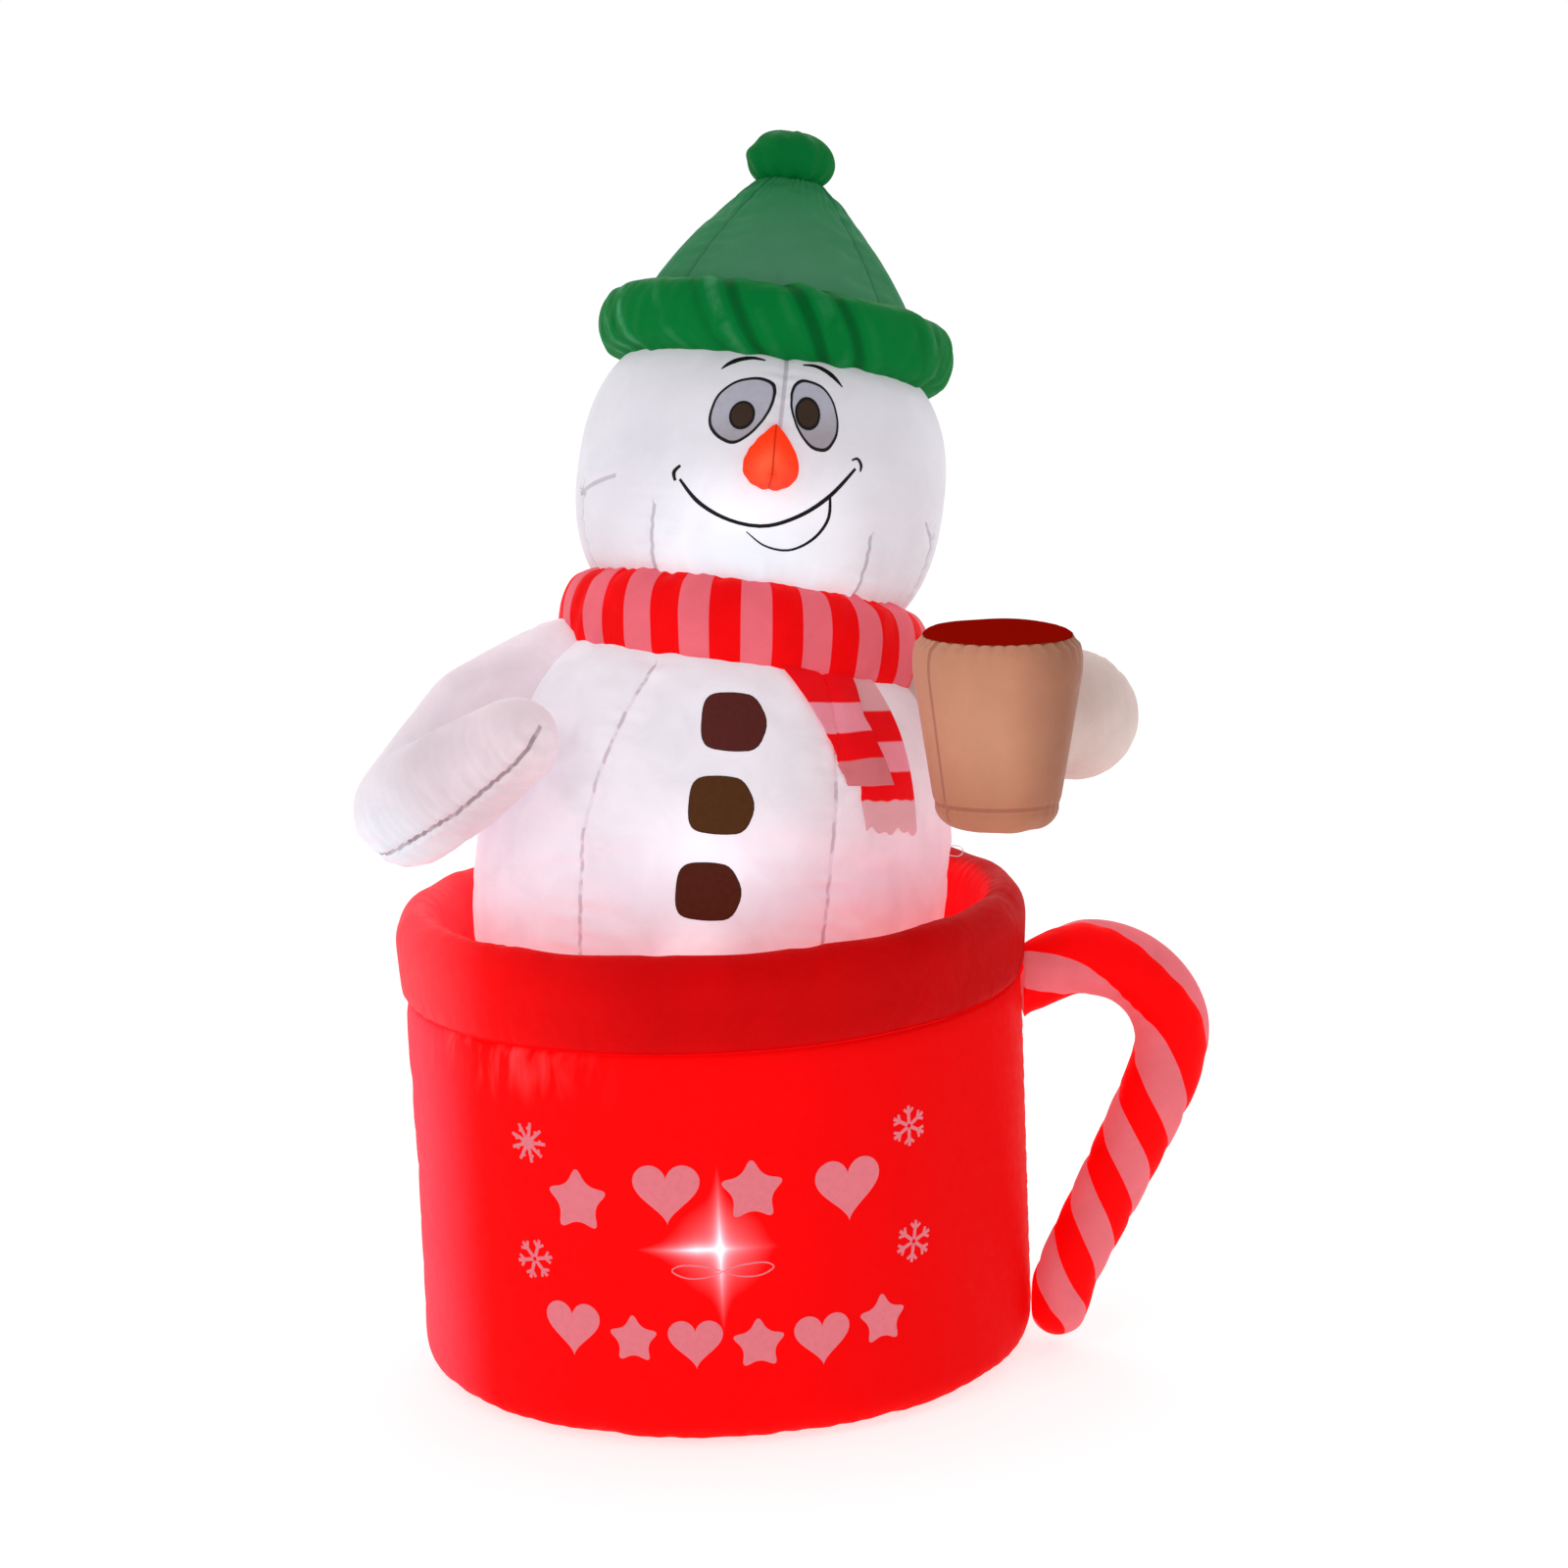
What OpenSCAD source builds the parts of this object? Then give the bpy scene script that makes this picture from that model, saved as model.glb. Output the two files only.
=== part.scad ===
// Inflatable yard snowman standing in a mug, with its blower, light string and sewn fittings.
// Origin: centre of the mug's base, on the ground. +Z up, -Y the front, +X the handle side.

/* [Skin] */
// Thickness of every fabric skin
skin_t = 2.5; // [2:0.25:3]
// Gap left between neighbouring skins
seam_gap = 0.3; // [0.2:0.1:0.5]

/* [Mug] */
// Outer radius of the mug
mug_r = 452; // [448:1:456]
// Radius of the rounded edge around the base
mug_edge_r = 45; // [35:1:55]
// Height of the seam between wall and rim
rim_seam_z = 562; // [556:1:568]
// Height of the rim's crest
rim_crest_z = 701; // [696:1:706]
// Radius of the rim's inner side
rim_inner_r = 388; // [386:1:392]
// Height of the floor inside the rim
deck_z = 535; // [530:1:540]

/* [Candy cane handle] */
// Radius of the cane's tube at its bend
cane_r = 56; // [50:1:60]

/* [Snowman's body] */
// Largest radius of the body
body_r = 348; // [342:1:352]
// Sideways offset of the body's foot
body_x = -22; // [-26:1:-16]
// Lean of the body towards the handle
body_lean_side = 8; // [7:0.5:9]
// Lean of the body towards the back
body_lean_back = 8; // [7:0.5:9]
// Height of the widest place, along the body
body_waist_z = 240; // [230:1:250]

/* [Head and hat] */
// Largest radius of the head
head_r = 267; // [262:1:270]
// Lean of the head towards the handle
head_lean_side = 10.4; // [9.5:0.1:11]
// Lean of the head towards the back
head_lean_back = 11; // [10:0.5:12]
// Half height of the tube that forms the hat's brim
brim_r = 58; // [54:1:60]
// Width of the pompom
pom_w = 132; // [124:1:138]

/* [Scarf] */
// Outer radius of the scarf's ring
scarf_r = 269; // [264:1:272]
// Thickness of the scarf's flat tails
tail_t = 2; // [1.5:0.25:2.5]

/* [Cup] */
// Radius of the cup at its mouth
cup_top_r = 115; // [110:1:118]
// Radius of the cup at its foot
cup_foot_r = 88; // [84:1:92]
// Height of the cup's wall
cup_h = 261; // [252:1:266]

/* [Blower] */
// Height of the blower's axis above the ground
blower_z = 135; // [130:1:145]
// Outer radius of the blower's barrel
barrel_r = 62; // [60:0.5:63]
// Number of impeller blades
blade_count = 7; // [5:1:9]

/* [Zipper] */
// Length that the slider travels
zip_travel = 250; // [200:5:270]

/* [Ground and guy fixings] */
// Radius of the stake holes in the grommets
stake_hole_r = 5.5; // [5:0.25:6]
// Radius of the holes in the tether loops
tether_hole_r = 5; // [4.5:0.25:5.5]

/* [Hidden] */
$fn = 96;
BIG = 3000;

// Head frame: its centre stands on the neck, which is the centre of the scarf's ring.
neck_pos = [67, 77, 1077];
neck_drop = 207;
hat_z = 212;
head_half_h = 235;
body_below = 460;
body_above = 330;
fullness = 2.6;
scarf_half_w = 58;
scarf_half_h = 64;
scarf_sink = 4;

// Crown of the hat, as radius and height above the hat's base.
crown_points = [[216, 0], [206, 28], [186, 71], [156, 114], [124, 156], [75, 214], [49, 240], [20, 243]];
pom_half_h = 46;
pom_z = hat_z + 280;
pom_shift = [-18, 3, 0];

// Arms: x, y, z and radius at the shoulder, along the arm and at the hand.
right_arm_path = [[-194, 10, 1022, 86], [-316, -36, 964, 90], [-424, -109, 859, 81], [-338, -206, 922, 74], [-261, -262, 976, 61]];
left_arm_path = [[256, 38, 1006, 60], [350, 10, 990, 72], [450, -50, 968, 82], [530, -148, 958, 91], [452, -226, 960, 52]];

// Candy cane's centreline, from the rim to its foot: x, y, z and radius.
cane_path = [
    [440, 0, 522, 46], [508, 0, 556, 51], [560, 0, 567, cane_r], [616, -5, 552, cane_r],
    [659, -12, 514, cane_r], [679, -22, 463, cane_r], [669, -32, 406, 54], [639, -44, 343, 53],
    [604, -56, 280, 51], [564, -70, 210, 49], [527, -82, 146, 47], [504, -89, 103, 46],
    [491, -93, 59, 45]
];

// Lamps of the light string, from the mug up to the head.
lamps = [[-8, -150, 150], [-2, 10, 610], [18, 32, 790], [100, 112, 1240]];
cable_r = 2.5;
cable_route = [
    [0, 358.8, 204.6], [0, 330, 207], [-20, 250, 170], [-40, 120, 60], [-30, -20, 50], [-12, -120, 70],
    [-8, -150, 118], [-40, -135, 200], [-70, -60, 380], [-50, 0, 520], [-20, 10, 560], [-2, 10, 582],
    [-34, 16, 640], [-44, 30, 700], [-10, 34, 738], [18, 32, 762], [-18, 40, 830], [-24, 62, 940],
    [40, 80, 1060], [60, 96, 1140], [90, 112, 1186], [100, 112, 1221]
];

// Zipper: it stands on the rear wall beside the blower.
zip_angle = 150;
zip_foot_z = 110;
zip_len = zip_travel + 50;
zip_gap = 1.6;
slider_h = 16;

stake_angles = [118, 205, 242];

function unit(v) = v / norm(v);
function flip(list) = [for (i = [len(list) - 1:-1:0]) list[i]];
function arc(cr, cz, a, b, from, to, n) =
    [for (i = [0:n]) let (w = from + (to - from) * i / n) [cr + a * cos(w), cz + b * sin(w)]];
function slope(p, i) = unit(p[min(i + 1, len(p) - 1)] - p[max(i - 1, 0)]);
// Outline moved by d to its left, which is inwards for an outline that climbs the outer side.
function inset(p, d) =
    [for (i = [0:len(p) - 1]) let (s = slope(p, i)) [max(0, p[i].x - d * s.y), p[i].y + d * s.x]];
function bulge(z, r, half_h) = r * pow(max(0, 1 - pow(abs(z) / half_h, fullness)), 1 / fullness);
function body_radius(z) =
    bulge(z - body_waist_z, body_r, z < body_waist_z ? body_below : body_above);
function head_radius(z) = bulge(z, head_r, head_half_h);

// Axes of a frame that leans back by a and towards the handle by b.
function lean_axes(a, b) = [
    [cos(b), 0, -sin(b)],
    [-sin(a) * sin(b), cos(a), -sin(a) * cos(b)],
    [cos(a) * sin(b), sin(a), cos(a) * cos(b)]
];

body_pos = [body_x, 0, deck_z];
head_axes = lean_axes(head_lean_back, head_lean_side);
head_pos = neck_pos + neck_drop * head_axes[2];

body_outline = concat(
    [for (z = [-80:40:440]) [body_radius(z), z]],
    [for (z = [462:22:550]) [body_radius(z), z]],
    [[150, 562], [132, 580]]
);
head_steps = 18;
head_outline = [
    for (i = [0:head_steps])
        let (z = skin_t / 2 - neck_drop + (hat_z - skin_t + neck_drop) * i / head_steps)
        [head_radius(z), z]
];
crown_outline = [for (p = crown_points) [p.x, p.y + hat_z + skin_t / 2]];

module skin_of(outline, t = skin_t) {
    rotate_extrude() polygon(concat(outline, flip(inset(outline, t))));
}

// Solid of revolution that fills an outline, grown by a clearance.
module filled(outline, grow) {
    grown = inset(outline, -grow);
    last = len(grown) - 1;
    rotate_extrude() polygon(concat([[0, grown[0].y]], grown, [[0, grown[last].y]]));
}

module body_frame() {
    translate(body_pos) rotate([-body_lean_back, body_lean_side, 0]) children();
}

module head_frame() {
    translate(head_pos) rotate([-head_lean_back, head_lean_side, 0]) children();
}

module mug_frame(angle, z) {
    rotate([0, 0, angle]) translate([0, -mug_r, z]) children();
}

// Blower frame: +z points out of the wall at the back, +y points down.
module blower_frame() {
    translate([0, mug_r, blower_z]) rotate([-90, 0, 0]) children();
}

// Thin patch that follows a skin's outline between two offsets, cut to its children's flat shape.
module patch_on(outline, low, high, angle, z) {
    intersection() {
        rotate_extrude() polygon(concat(inset(outline, -high), flip(inset(outline, -low))));
        rotate([0, 0, angle]) translate([0, 0, z]) rotate([90, 0, 0]) linear_extrude(BIG / 4) children();
    }
}

// Catmull-Rom curve through stations of any number of values, with n steps between stations.
function spline_at(p, i, t) =
    let (a = p[max(i - 1, 0)], b = p[i], c = p[i + 1], d = p[min(i + 2, len(p) - 1)])
    0.5 * (2 * b + (c - a) * t + (2 * a - 5 * b + 4 * c - d) * t * t
        + (3 * b - a - 3 * c + d) * t * t * t);
function spline(p, n) = concat(
    [for (i = [0:len(p) - 2]) for (k = [0:n - 1]) spline_at(p, i, k / n)],
    [p[len(p) - 1]]
);
function place(s) = [s[0], s[1], s[2]];
function heading(s, i) = unit(place(s[min(i + 1, len(s) - 1)]) - place(s[max(i - 1, 0)]));
function ring_at(c, dir, ref, r, sides) =
    let (u = unit(cross(ref, dir)), v = cross(dir, u))
    [for (k = [0:sides - 1]) c + r * (cos(360 * k / sides) * u + sin(360 * k / sides) * v)];

// Rings of a tube with a round closed end; thin is how far they lie inside the outer surface.
tip_angles = [25, 48, 68, 82];
function tube_rings(s, ref, thin, sides) =
    let (last = len(s) - 1, tip = place(s[last]), dir = heading(s, last), r = s[last][3] - thin)
    concat(
        [for (i = [0:last]) ring_at(place(s[i]), heading(s, i), ref, s[i][3] - thin, sides)],
        [for (a = tip_angles) ring_at(tip + r * sin(a) * dir, dir, ref, r * cos(a), sides)]
    );

function quad(a, b, n, m) = [[a + n, a + m, b + m], [a + n, b + m, b + n]];
// Faces between two loops of points that start at a and b.
function band(a, b, sides) =
    [for (k = [0:sides - 1]) for (f = quad(a, b, k, (k + 1) % sides)) f];

// Hollow tube, open at its root and closed at its tip. Rings are lists of already placed points.
module hollow_tube(outer, inner) {
    rings = len(outer);
    sides = len(outer[0]);
    inner_at = rings * sides;
    points = concat([for (r = outer) for (p = r) p], [for (r = inner) for (p = r) p]);
    polyhedron(points, concat(
        [for (i = [0:rings - 2]) for (f = band((i + 1) * sides, i * sides, sides)) f],
        [for (i = [0:rings - 2]) for (f = band(inner_at + i * sides, inner_at + (i + 1) * sides, sides)) f],
        band(0, inner_at, sides),
        [[for (k = [sides - 1:-1:0]) (rings - 1) * sides + k]],
        [[for (k = [0:sides - 1]) inner_at + (rings - 1) * sides + k]]
    ), 4);
}

// A point pushed out of the mug until it clears the wall and rim by gap.
function off_mug(p, gap) =
    let (r = norm([p.x, p.y]), k = max(1, (mug_r + 7 + gap) / max(r, 1))) [p.x * k, p.y * k, p.z];

// Tube through round stations, one straight stretch after another; thin is how far it lies inside.
module chain(stations, thin) {
    for (i = [0:len(stations) - 2]) hull() {
        for (s = [stations[i], stations[i + 1]]) translate(place(s)) sphere(r = s[3] - thin, $fn = 24);
    }
}

module mug_wall() {
    wall = concat(
        arc(mug_r - mug_edge_r, mug_edge_r, mug_edge_r, mug_edge_r, -90, 0, 8),
        [[mug_r, rim_seam_z - 60], [mug_r - 2, rim_seam_z]]
    );
    color("red") difference() {
        skin_of(wall);
        blower_frame() translate([0, 0, -40]) cylinder(r = panel_r + seam_gap, h = 60);
        mug_frame(zip_angle, zip_foot_z) translate([-zip_slit / 2, -5, 0]) cube([zip_slit, 20, zip_len]);
    }
}

module mug_base() {
    color("darkred") cylinder(r = mug_r - mug_edge_r - 2 * seam_gap, h = skin_t);
}

rim_half_w = (mug_r + 6 - rim_inner_r) / 2;
rim_shoulder_z = 652;
module mug_rim() {
    roll = concat(
        [[mug_r - 2, rim_seam_z], [mug_r + 3, rim_seam_z + 35]],
        arc(mug_r + 6 - rim_half_w, rim_shoulder_z, rim_half_w, rim_crest_z - rim_shoulder_z, 0, 180, 14),
        [[rim_inner_r, deck_z]]
    );
    color("firebrick") skin_of(roll);
}

deck_hole_r = 296;
module mug_deck() {
    color("red") translate([0, 0, deck_z - skin_t]) difference() {
        cylinder(r = rim_inner_r + skin_t, h = skin_t);
        translate([body_x, 0, -1]) cylinder(r = deck_hole_r, h = skin_t + 2);
    }
}

// Webbing that ties the deck to the base, inside the mug.
deck_strap_x = 350;
deck_strap_w = 30;
module deck_straps() {
    color("firebrick") for (angle = [45:90:315]) rotate([0, 0, angle])
        translate([deck_strap_x, -deck_strap_w / 2, skin_t]) cube([2, deck_strap_w, deck_z - 2 * skin_t]);
}

module candy_cane_handle() {
    s = spline(cane_path, 2);
    side = [0, 1, 0];
    color("crimson") hollow_tube(
        [for (r = tube_rings(s, side, 0, 20)) [for (p = r) off_mug(p, 0.5)]],
        [for (r = tube_rings(s, side, skin_t, 20)) [for (p = r) off_mug(p, 0.5 + skin_t)]]
    );
}

module body_skin() {
    color("ghostwhite") difference() {
        body_frame() skin_of(body_outline);
        translate([-BIG / 2, -BIG / 2, deck_z - BIG]) cube(BIG);
        head_frame() translate([-BIG / 2, -BIG / 2, -neck_drop - skin_t / 2]) cube(BIG);
    }
}

// Fabric panel across a chamber, with a vent that lets the air through.
vent_r = 90;
neck_panel_r = 200;
module ring_panel(z, r, hole_r) {
    head_frame() translate([0, 0, z - skin_t / 2]) difference() {
        cylinder(r = r, h = skin_t);
        translate([0, 0, -1]) cylinder(r = hole_r, h = skin_t + 2);
    }
}

module neck_baffle() {
    color("gainsboro") ring_panel(-neck_drop, neck_panel_r, vent_r);
}

module head_skin() {
    color("ghostwhite") head_frame() skin_of(head_outline);
}

module hat_baffle() {
    color("seagreen") ring_panel(hat_z, crown_points[0].x - skin_t - seam_gap, vent_r);
}

module hat_crown() {
    color("seagreen") head_frame() skin_of(crown_outline);
}

module hat_brim() {
    roll = arc(crown_points[0].x - 9, hat_z, brim_r, brim_r, -140, 140, 20);
    color("darkgreen") head_frame() difference() {
        skin_of(roll);
        filled(head_outline, seam_gap);
        filled(crown_outline, seam_gap);
        translate([0, 0, hat_z - skin_t]) cylinder(r = crown_points[0].x + seam_gap, h = 2 * skin_t);
    }
}

module pompom() {
    crown_top = crown_outline[len(crown_outline) - 1].y;
    mouth = asin((crown_top + 0.2 - pom_z) / pom_half_h);
    color("darkgreen") head_frame() translate(pom_shift)
        skin_of(arc(0, pom_z, pom_w / 2, pom_half_h, mouth, 90, 16));
}

module scarf_ring() {
    roll = arc(scarf_r - scarf_half_w, -neck_drop - scarf_sink, scarf_half_w, scarf_half_h, -120, 130, 20);
    color("crimson") difference() {
        head_frame() skin_of(roll);
        head_frame() filled(head_outline, seam_gap);
        body_frame() filled(body_outline, seam_gap);
    }
}

// The room that the scarf's ring takes, with a little to spare.
module scarf_space() {
    head_frame() rotate_extrude()
        polygon(arc(scarf_r - scarf_half_w, -neck_drop - scarf_sink, scarf_half_w + 1, scarf_half_h + 1, 0, 350, 35));
}

tail_lift = 4;
module tail(layer, angle, shape) {
    low = tail_lift + layer * (tail_t + 1);
    body_frame() patch_on(body_outline, low, low + tail_t, angle, tail_top_z) polygon(shape);
}
tail_top_z = 488;

module scarf_tail_front() {
    color("crimson") tail(1, 30, [[-78, 12], [34, 12], [30, -48], [74, -140], [-2, -146], [-46, -58]]);
}

module scarf_tail_back() {
    color("lightpink") tail(0, 43, [[-66, 12], [8, 12], [26, -60], [52, -204], [-48, -206], [-58, -160]]);
}

module right_arm() {
    color("ghostwhite") difference() {
        chain(right_arm_path, 0);
        chain(right_arm_path, skin_t);
        body_frame() filled(body_outline, 0.5);
        scarf_space();
    }
}

cup_pos = [402, -330, 845];
cup_tilt = 2;
cup_mouth_r = cup_top_r - 11;
cup_foot_edge = 32;
drink_rise = 17;
cup_wall = concat(
    arc(cup_foot_r - cup_foot_edge, cup_foot_edge, cup_foot_edge, cup_foot_edge, -90, 0, 7),
    [[cup_top_r, cup_h - 50], [cup_top_r, cup_h - 30], [cup_top_r - 4, cup_h - 12], [cup_mouth_r, cup_h]]
);
module left_arm() {
    color("ghostwhite") difference() {
        chain(left_arm_path, 0);
        chain(left_arm_path, skin_t);
        body_frame() filled(body_outline, 0.5);
        scarf_space();
        cup_frame() filled(cup_wall, 0.5);
    }
}

module cup_frame() {
    translate(cup_pos) rotate([0, cup_tilt, 0]) children();
}

module cup_skin() {
    color("tan") cup_frame() skin_of(concat([[0, 0]], cup_wall));
}

module cup_drink() {
    color("saddlebrown") cup_frame() skin_of(arc(0, cup_h, cup_mouth_r, drink_rise, 1, 90, 10));
}

nose_len = 104;
nose_r = 41;
nose_droop = 14;
module carrot_nose() {
    cone = concat([[nose_r - 3, 0], [nose_r, 14], [nose_r - 5, 42]], arc(0, nose_len - 14, 15, 14, 20, 90, 5));
    color("orangered") head_frame() difference() {
        translate([0, -head_r + 4, 22]) rotate([90 + nose_droop, 0, 0]) skin_of(cone);
        filled(head_outline, seam_gap);
    }
}

button_shape = [[-46, 23], [-34, 38], [1, 42], [28, 39], [49, 4], [36, -36], [0, -41], [-36, -39], [-46, -22]];
module body_button(angle, z) {
    color("saddlebrown") body_frame()
        patch_on(body_outline, seam_gap, seam_gap + 1.5, angle, z) polygon(button_shape);
}
module button_top() { body_button(0.6, 418); }
module button_middle() { body_button(-0.7, 302); }
module button_bottom() { body_button(-1.8, 181); }

// Oval patch on the head: half width, half height and tilt of its long axis.
module face_oval(low, angle, z, half_w, half_h, tilt) {
    head_frame() patch_on(head_outline, low, low + 0.8, angle, z) rotate([0, 0, -tilt])
        polygon(arc(0, 0, half_w, half_h, 0, 345, 23));
}
module eye_patch_right() { color("gray") face_oval(seam_gap, -11.3, 77, 41, 53, 12); }
module eye_patch_left() { color("gray") face_oval(seam_gap, 11.3, 84, 37, 50, -14); }
module pupil_right() { color("black") face_oval(seam_gap + 1, -10.7, 72, 18, 21, 12); }
module pupil_left() { color("black") face_oval(seam_gap + 1, 9.4, 81, 15, 22, -8); }

// ---- Blower ----
panel_r = 96;
flange_r = 76;
flange_t = 4;
barrel_wall = 3;
barrel_len = 95;
gasket_t = 3.2;
nut_t = 8;
nut_r = barrel_r + 11;
duct_r = barrel_r - barrel_wall;
fan_z = -26;
fan_h = 20;
hub_r = 22;
blade_tip_r = 55.5;
shaft_r = 2;
motor_r = 18;
motor_len = 32;
motor_top = -32;
screw_circle_r = 70.5;
panel_low = 0.5;
flange_low = panel_low + skin_t;

module tube(r_out, r_in, z, h) {
    translate([0, 0, z]) difference() {
        cylinder(r = r_out, h = h);
        translate([0, 0, -1]) cylinder(r = r_in, h = h + 2);
    }
}

module ring(r_out, r_in) {
    difference() {
        circle(r = r_out);
        circle(r = r_in);
    }
}

module blower_panel() {
    color("firebrick") blower_frame() rotate_extrude() polygon([
        [barrel_r + 0.5, panel_low], [panel_r - skin_t, panel_low], [panel_r - skin_t, -13],
        [panel_r, -13], [panel_r, flange_low], [barrel_r + 0.5, flange_low]
    ]);
}

module blower_housing() {
    color("darkslategray") blower_frame() difference() {
        union() {
            tube(barrel_r, duct_r, -barrel_len, barrel_len + flange_low + flange_t);
            tube(flange_r, barrel_r - 1, flange_low, flange_t);
            for (k = [0:5]) tube(barrel_r + 0.25, barrel_r - 1, -34 + 4 * k, 1.2);
            translate([-13, flange_r - 4, flange_low]) cube([26, 22, flange_t]);
        }
        for (a = [45:90:315]) rotate([0, 0, a]) translate([screw_circle_r, 0, 0]) cylinder(r = 1.3, h = 20);
    }
}

module blower_nut() {
    color("dimgray") blower_frame() translate([0, 0, panel_low - gasket_t - nut_t]) linear_extrude(nut_t)
        difference() {
            union() {
                circle(r = nut_r);
                for (a = [0:30:330]) rotate(a) translate([nut_r - 1, 0]) circle(r = 4);
            }
            circle(r = barrel_r + 0.45);
        }
}

module blower_gasket() {
    color("black") blower_frame() tube(barrel_r + 10, barrel_r + 0.6, panel_low - gasket_t, gasket_t);
}

grille_low = flange_low + flange_t;
grille_h = 15;
grille_r = 66;
grille_flange_t = 2;
grille_bar_t = 3;
grille_wall = 2.5;
// Flat face of the intake grille: rings and radial bars in a rim.
module grille_face() {
    ring(grille_r, grille_r - grille_wall);
    for (r = [14:12:50]) ring(r + 1.6, r - 1.6);
    circle(r = 9);
    for (a = [0:30:150]) rotate(a) square([2 * grille_r - 3, 2.4], center = true);
}

module intake_grille() {
    color("black") blower_frame() translate([0, 0, grille_low]) {
        linear_extrude(grille_flange_t) difference() {
            ring(flange_r - 1.5, grille_r - grille_wall);
            for (a = [45:90:315]) rotate(a) translate([screw_circle_r, 0]) circle(r = 1.6);
        }
        translate([0, 0, grille_flange_t]) linear_extrude(grille_h - grille_flange_t - grille_bar_t)
            ring(grille_r, grille_r - grille_wall);
        translate([0, 0, grille_h - grille_bar_t]) linear_extrude(grille_bar_t) grille_face();
    }
}

module grille_screws() {
    color("silver") blower_frame() for (a = [45:90:315]) rotate([0, 0, a]) translate([screw_circle_r, 0, 0]) {
        difference() {
            translate([0, 0, grille_low + 2]) cylinder(r = 2.8, h = 1.8);
            translate([-2, -0.4, grille_low + 3]) cube([4, 0.8, 2]);
            translate([-0.4, -2, grille_low + 3]) cube([0.8, 4, 2]);
        }
        translate([0, 0, flange_low + 0.5]) cylinder(r = 1.2, h = grille_low + 2 - flange_low - 0.5);
    }
}

module impeller() {
    color("whitesmoke") blower_frame() difference() {
        union() {
            translate([0, 0, fan_z]) cylinder(r = hub_r, h = fan_h);
            translate([0, 0, fan_z + fan_h]) cylinder(r1 = hub_r, r2 = 9, h = 7);
            for (k = [0:blade_count - 1]) rotate([0, 0, 360 * k / blade_count]) intersection() {
                translate([hub_r - 3, 0, fan_z + fan_h / 2]) rotate([38, 0, 0])
                    translate([0, -15, -1]) cube([blade_tip_r, 30, 2]);
                tube(blade_tip_r, hub_r - 2, fan_z, fan_h);
            }
        }
        translate([0, 0, fan_z - 1]) cylinder(r = shaft_r, h = fan_h);
        translate([0, 0, fan_z - 1]) tube(hub_r - 4, 6, 0, 7);
    }
}

module impeller_shaft() {
    color("silver") blower_frame() translate([0, 0, motor_top - 16])
        cylinder(r = shaft_r, h = fan_z + fan_h - 1 - motor_top + 16);
}

module motor() {
    color("gray") blower_frame() difference() {
        union() {
            translate([0, 0, motor_top - motor_len]) cylinder(r = motor_r, h = motor_len);
            translate([0, 0, motor_top]) cylinder(r = 6, h = 3);
            translate([0, 0, motor_top - motor_len - 4]) cylinder(r = 7, h = 4);
        }
        translate([0, 0, motor_top - 18]) cylinder(r = shaft_r + 0.05, h = 30);
    }
}

module motor_spider() {
    color("black") blower_frame() {
        difference() {
            union() {
                tube(motor_r + 3, motor_r, motor_top - 26, 18);
                tube(duct_r - 0.1, duct_r - 2.5, motor_top - 26, 18);
                for (a = [0:90:270]) rotate([0, 0, a]) translate([motor_r + 1, -1.25, motor_top - 26])
                    cube([duct_r - motor_r - 3, 2.5, 18]);
            }
            translate([0, 0, motor_top - 30]) cylinder(r = motor_r, h = 40);
        }
    }
}

module outlet_guard() {
    color("black") blower_frame() {
        tube(duct_r - 0.1, duct_r - 3, -barrel_len, 3);
        for (r = [20, 38]) tube(r + 1.2, r - 1.2, -barrel_len, 3);
        for (a = [0:45:135]) rotate([0, 0, a]) translate([-duct_r + 2, -1.2, -barrel_len])
            cube([2 * duct_r - 4, 2.4, 3]);
    }
}

inlet_y = flange_r - 1;
inlet_h = 17;
module dc_inlet() {
    color("black") blower_frame() {
        difference() {
            translate([-9, inlet_y, grille_low]) cube([18, inlet_h, 16]);
            translate([0, inlet_y + inlet_h - 11, grille_low + 8]) rotate([-90, 0, 0]) cylinder(r = 2.8, h = 20);
        }
        translate([0, inlet_y + inlet_h - 12, grille_low + 8]) rotate([-90, 0, 0]) cylinder(r = 1.05, h = 10);
    }
}

module light_socket() {
    color("black") blower_frame() translate([-8, -barrel_r - 15, -93]) difference() {
        cube([16, 14.8, 22]);
        for (x = [5, 11]) translate([x, 7.4, -1]) cylinder(r = 1.2, h = 9);
    }
}

// ---- Lights ----
lamp_r = 9;
holder_h = 26;
lens_r = 13;

// Side directions along a curve, each turned as little as possible from the one before.
function sides_along(s) = [
    for (i = 0, u = unit(cross(heading(s, 0), [1, 0, 0])); i < len(s);
        i = i + 1, u = let (d = heading(s, min(i, len(s) - 1))) unit(u - (u * d) * d)) u
];
function cable_rings(sides) =
    let (s = spline(cable_route, 3), u = sides_along(s))
    [for (i = [0:len(s) - 1]) ring_at(s[i], heading(s, i), cross(heading(s, i), u[i]), cable_r, sides)];

module light_cable() {
    sides = 8;
    rings = cable_rings(sides);
    count = len(rings);
    color("darkgreen") polyhedron([for (r = rings) for (p = r) p], concat(
        [for (i = [0:count - 2]) for (f = band((i + 1) * sides, i * sides, sides)) f],
        [[for (k = [0:sides - 1]) k]],
        [[for (k = [sides - 1:-1:0]) (count - 1) * sides + k]]
    ), 4);
}

module at_lamps() {
    for (p = lamps) translate(p) children();
}

module lamp_holders() {
    color("white") at_lamps() difference() {
        translate([0, 0, -holder_h]) cylinder(r = lamp_r, h = holder_h);
        translate([0, 0, -4]) cylinder(r = lamp_r - 1.5, h = 5);
        translate([0, 0, -holder_h - 1]) cylinder(r = cable_r + 0.2, h = 10);
    }
}

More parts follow.
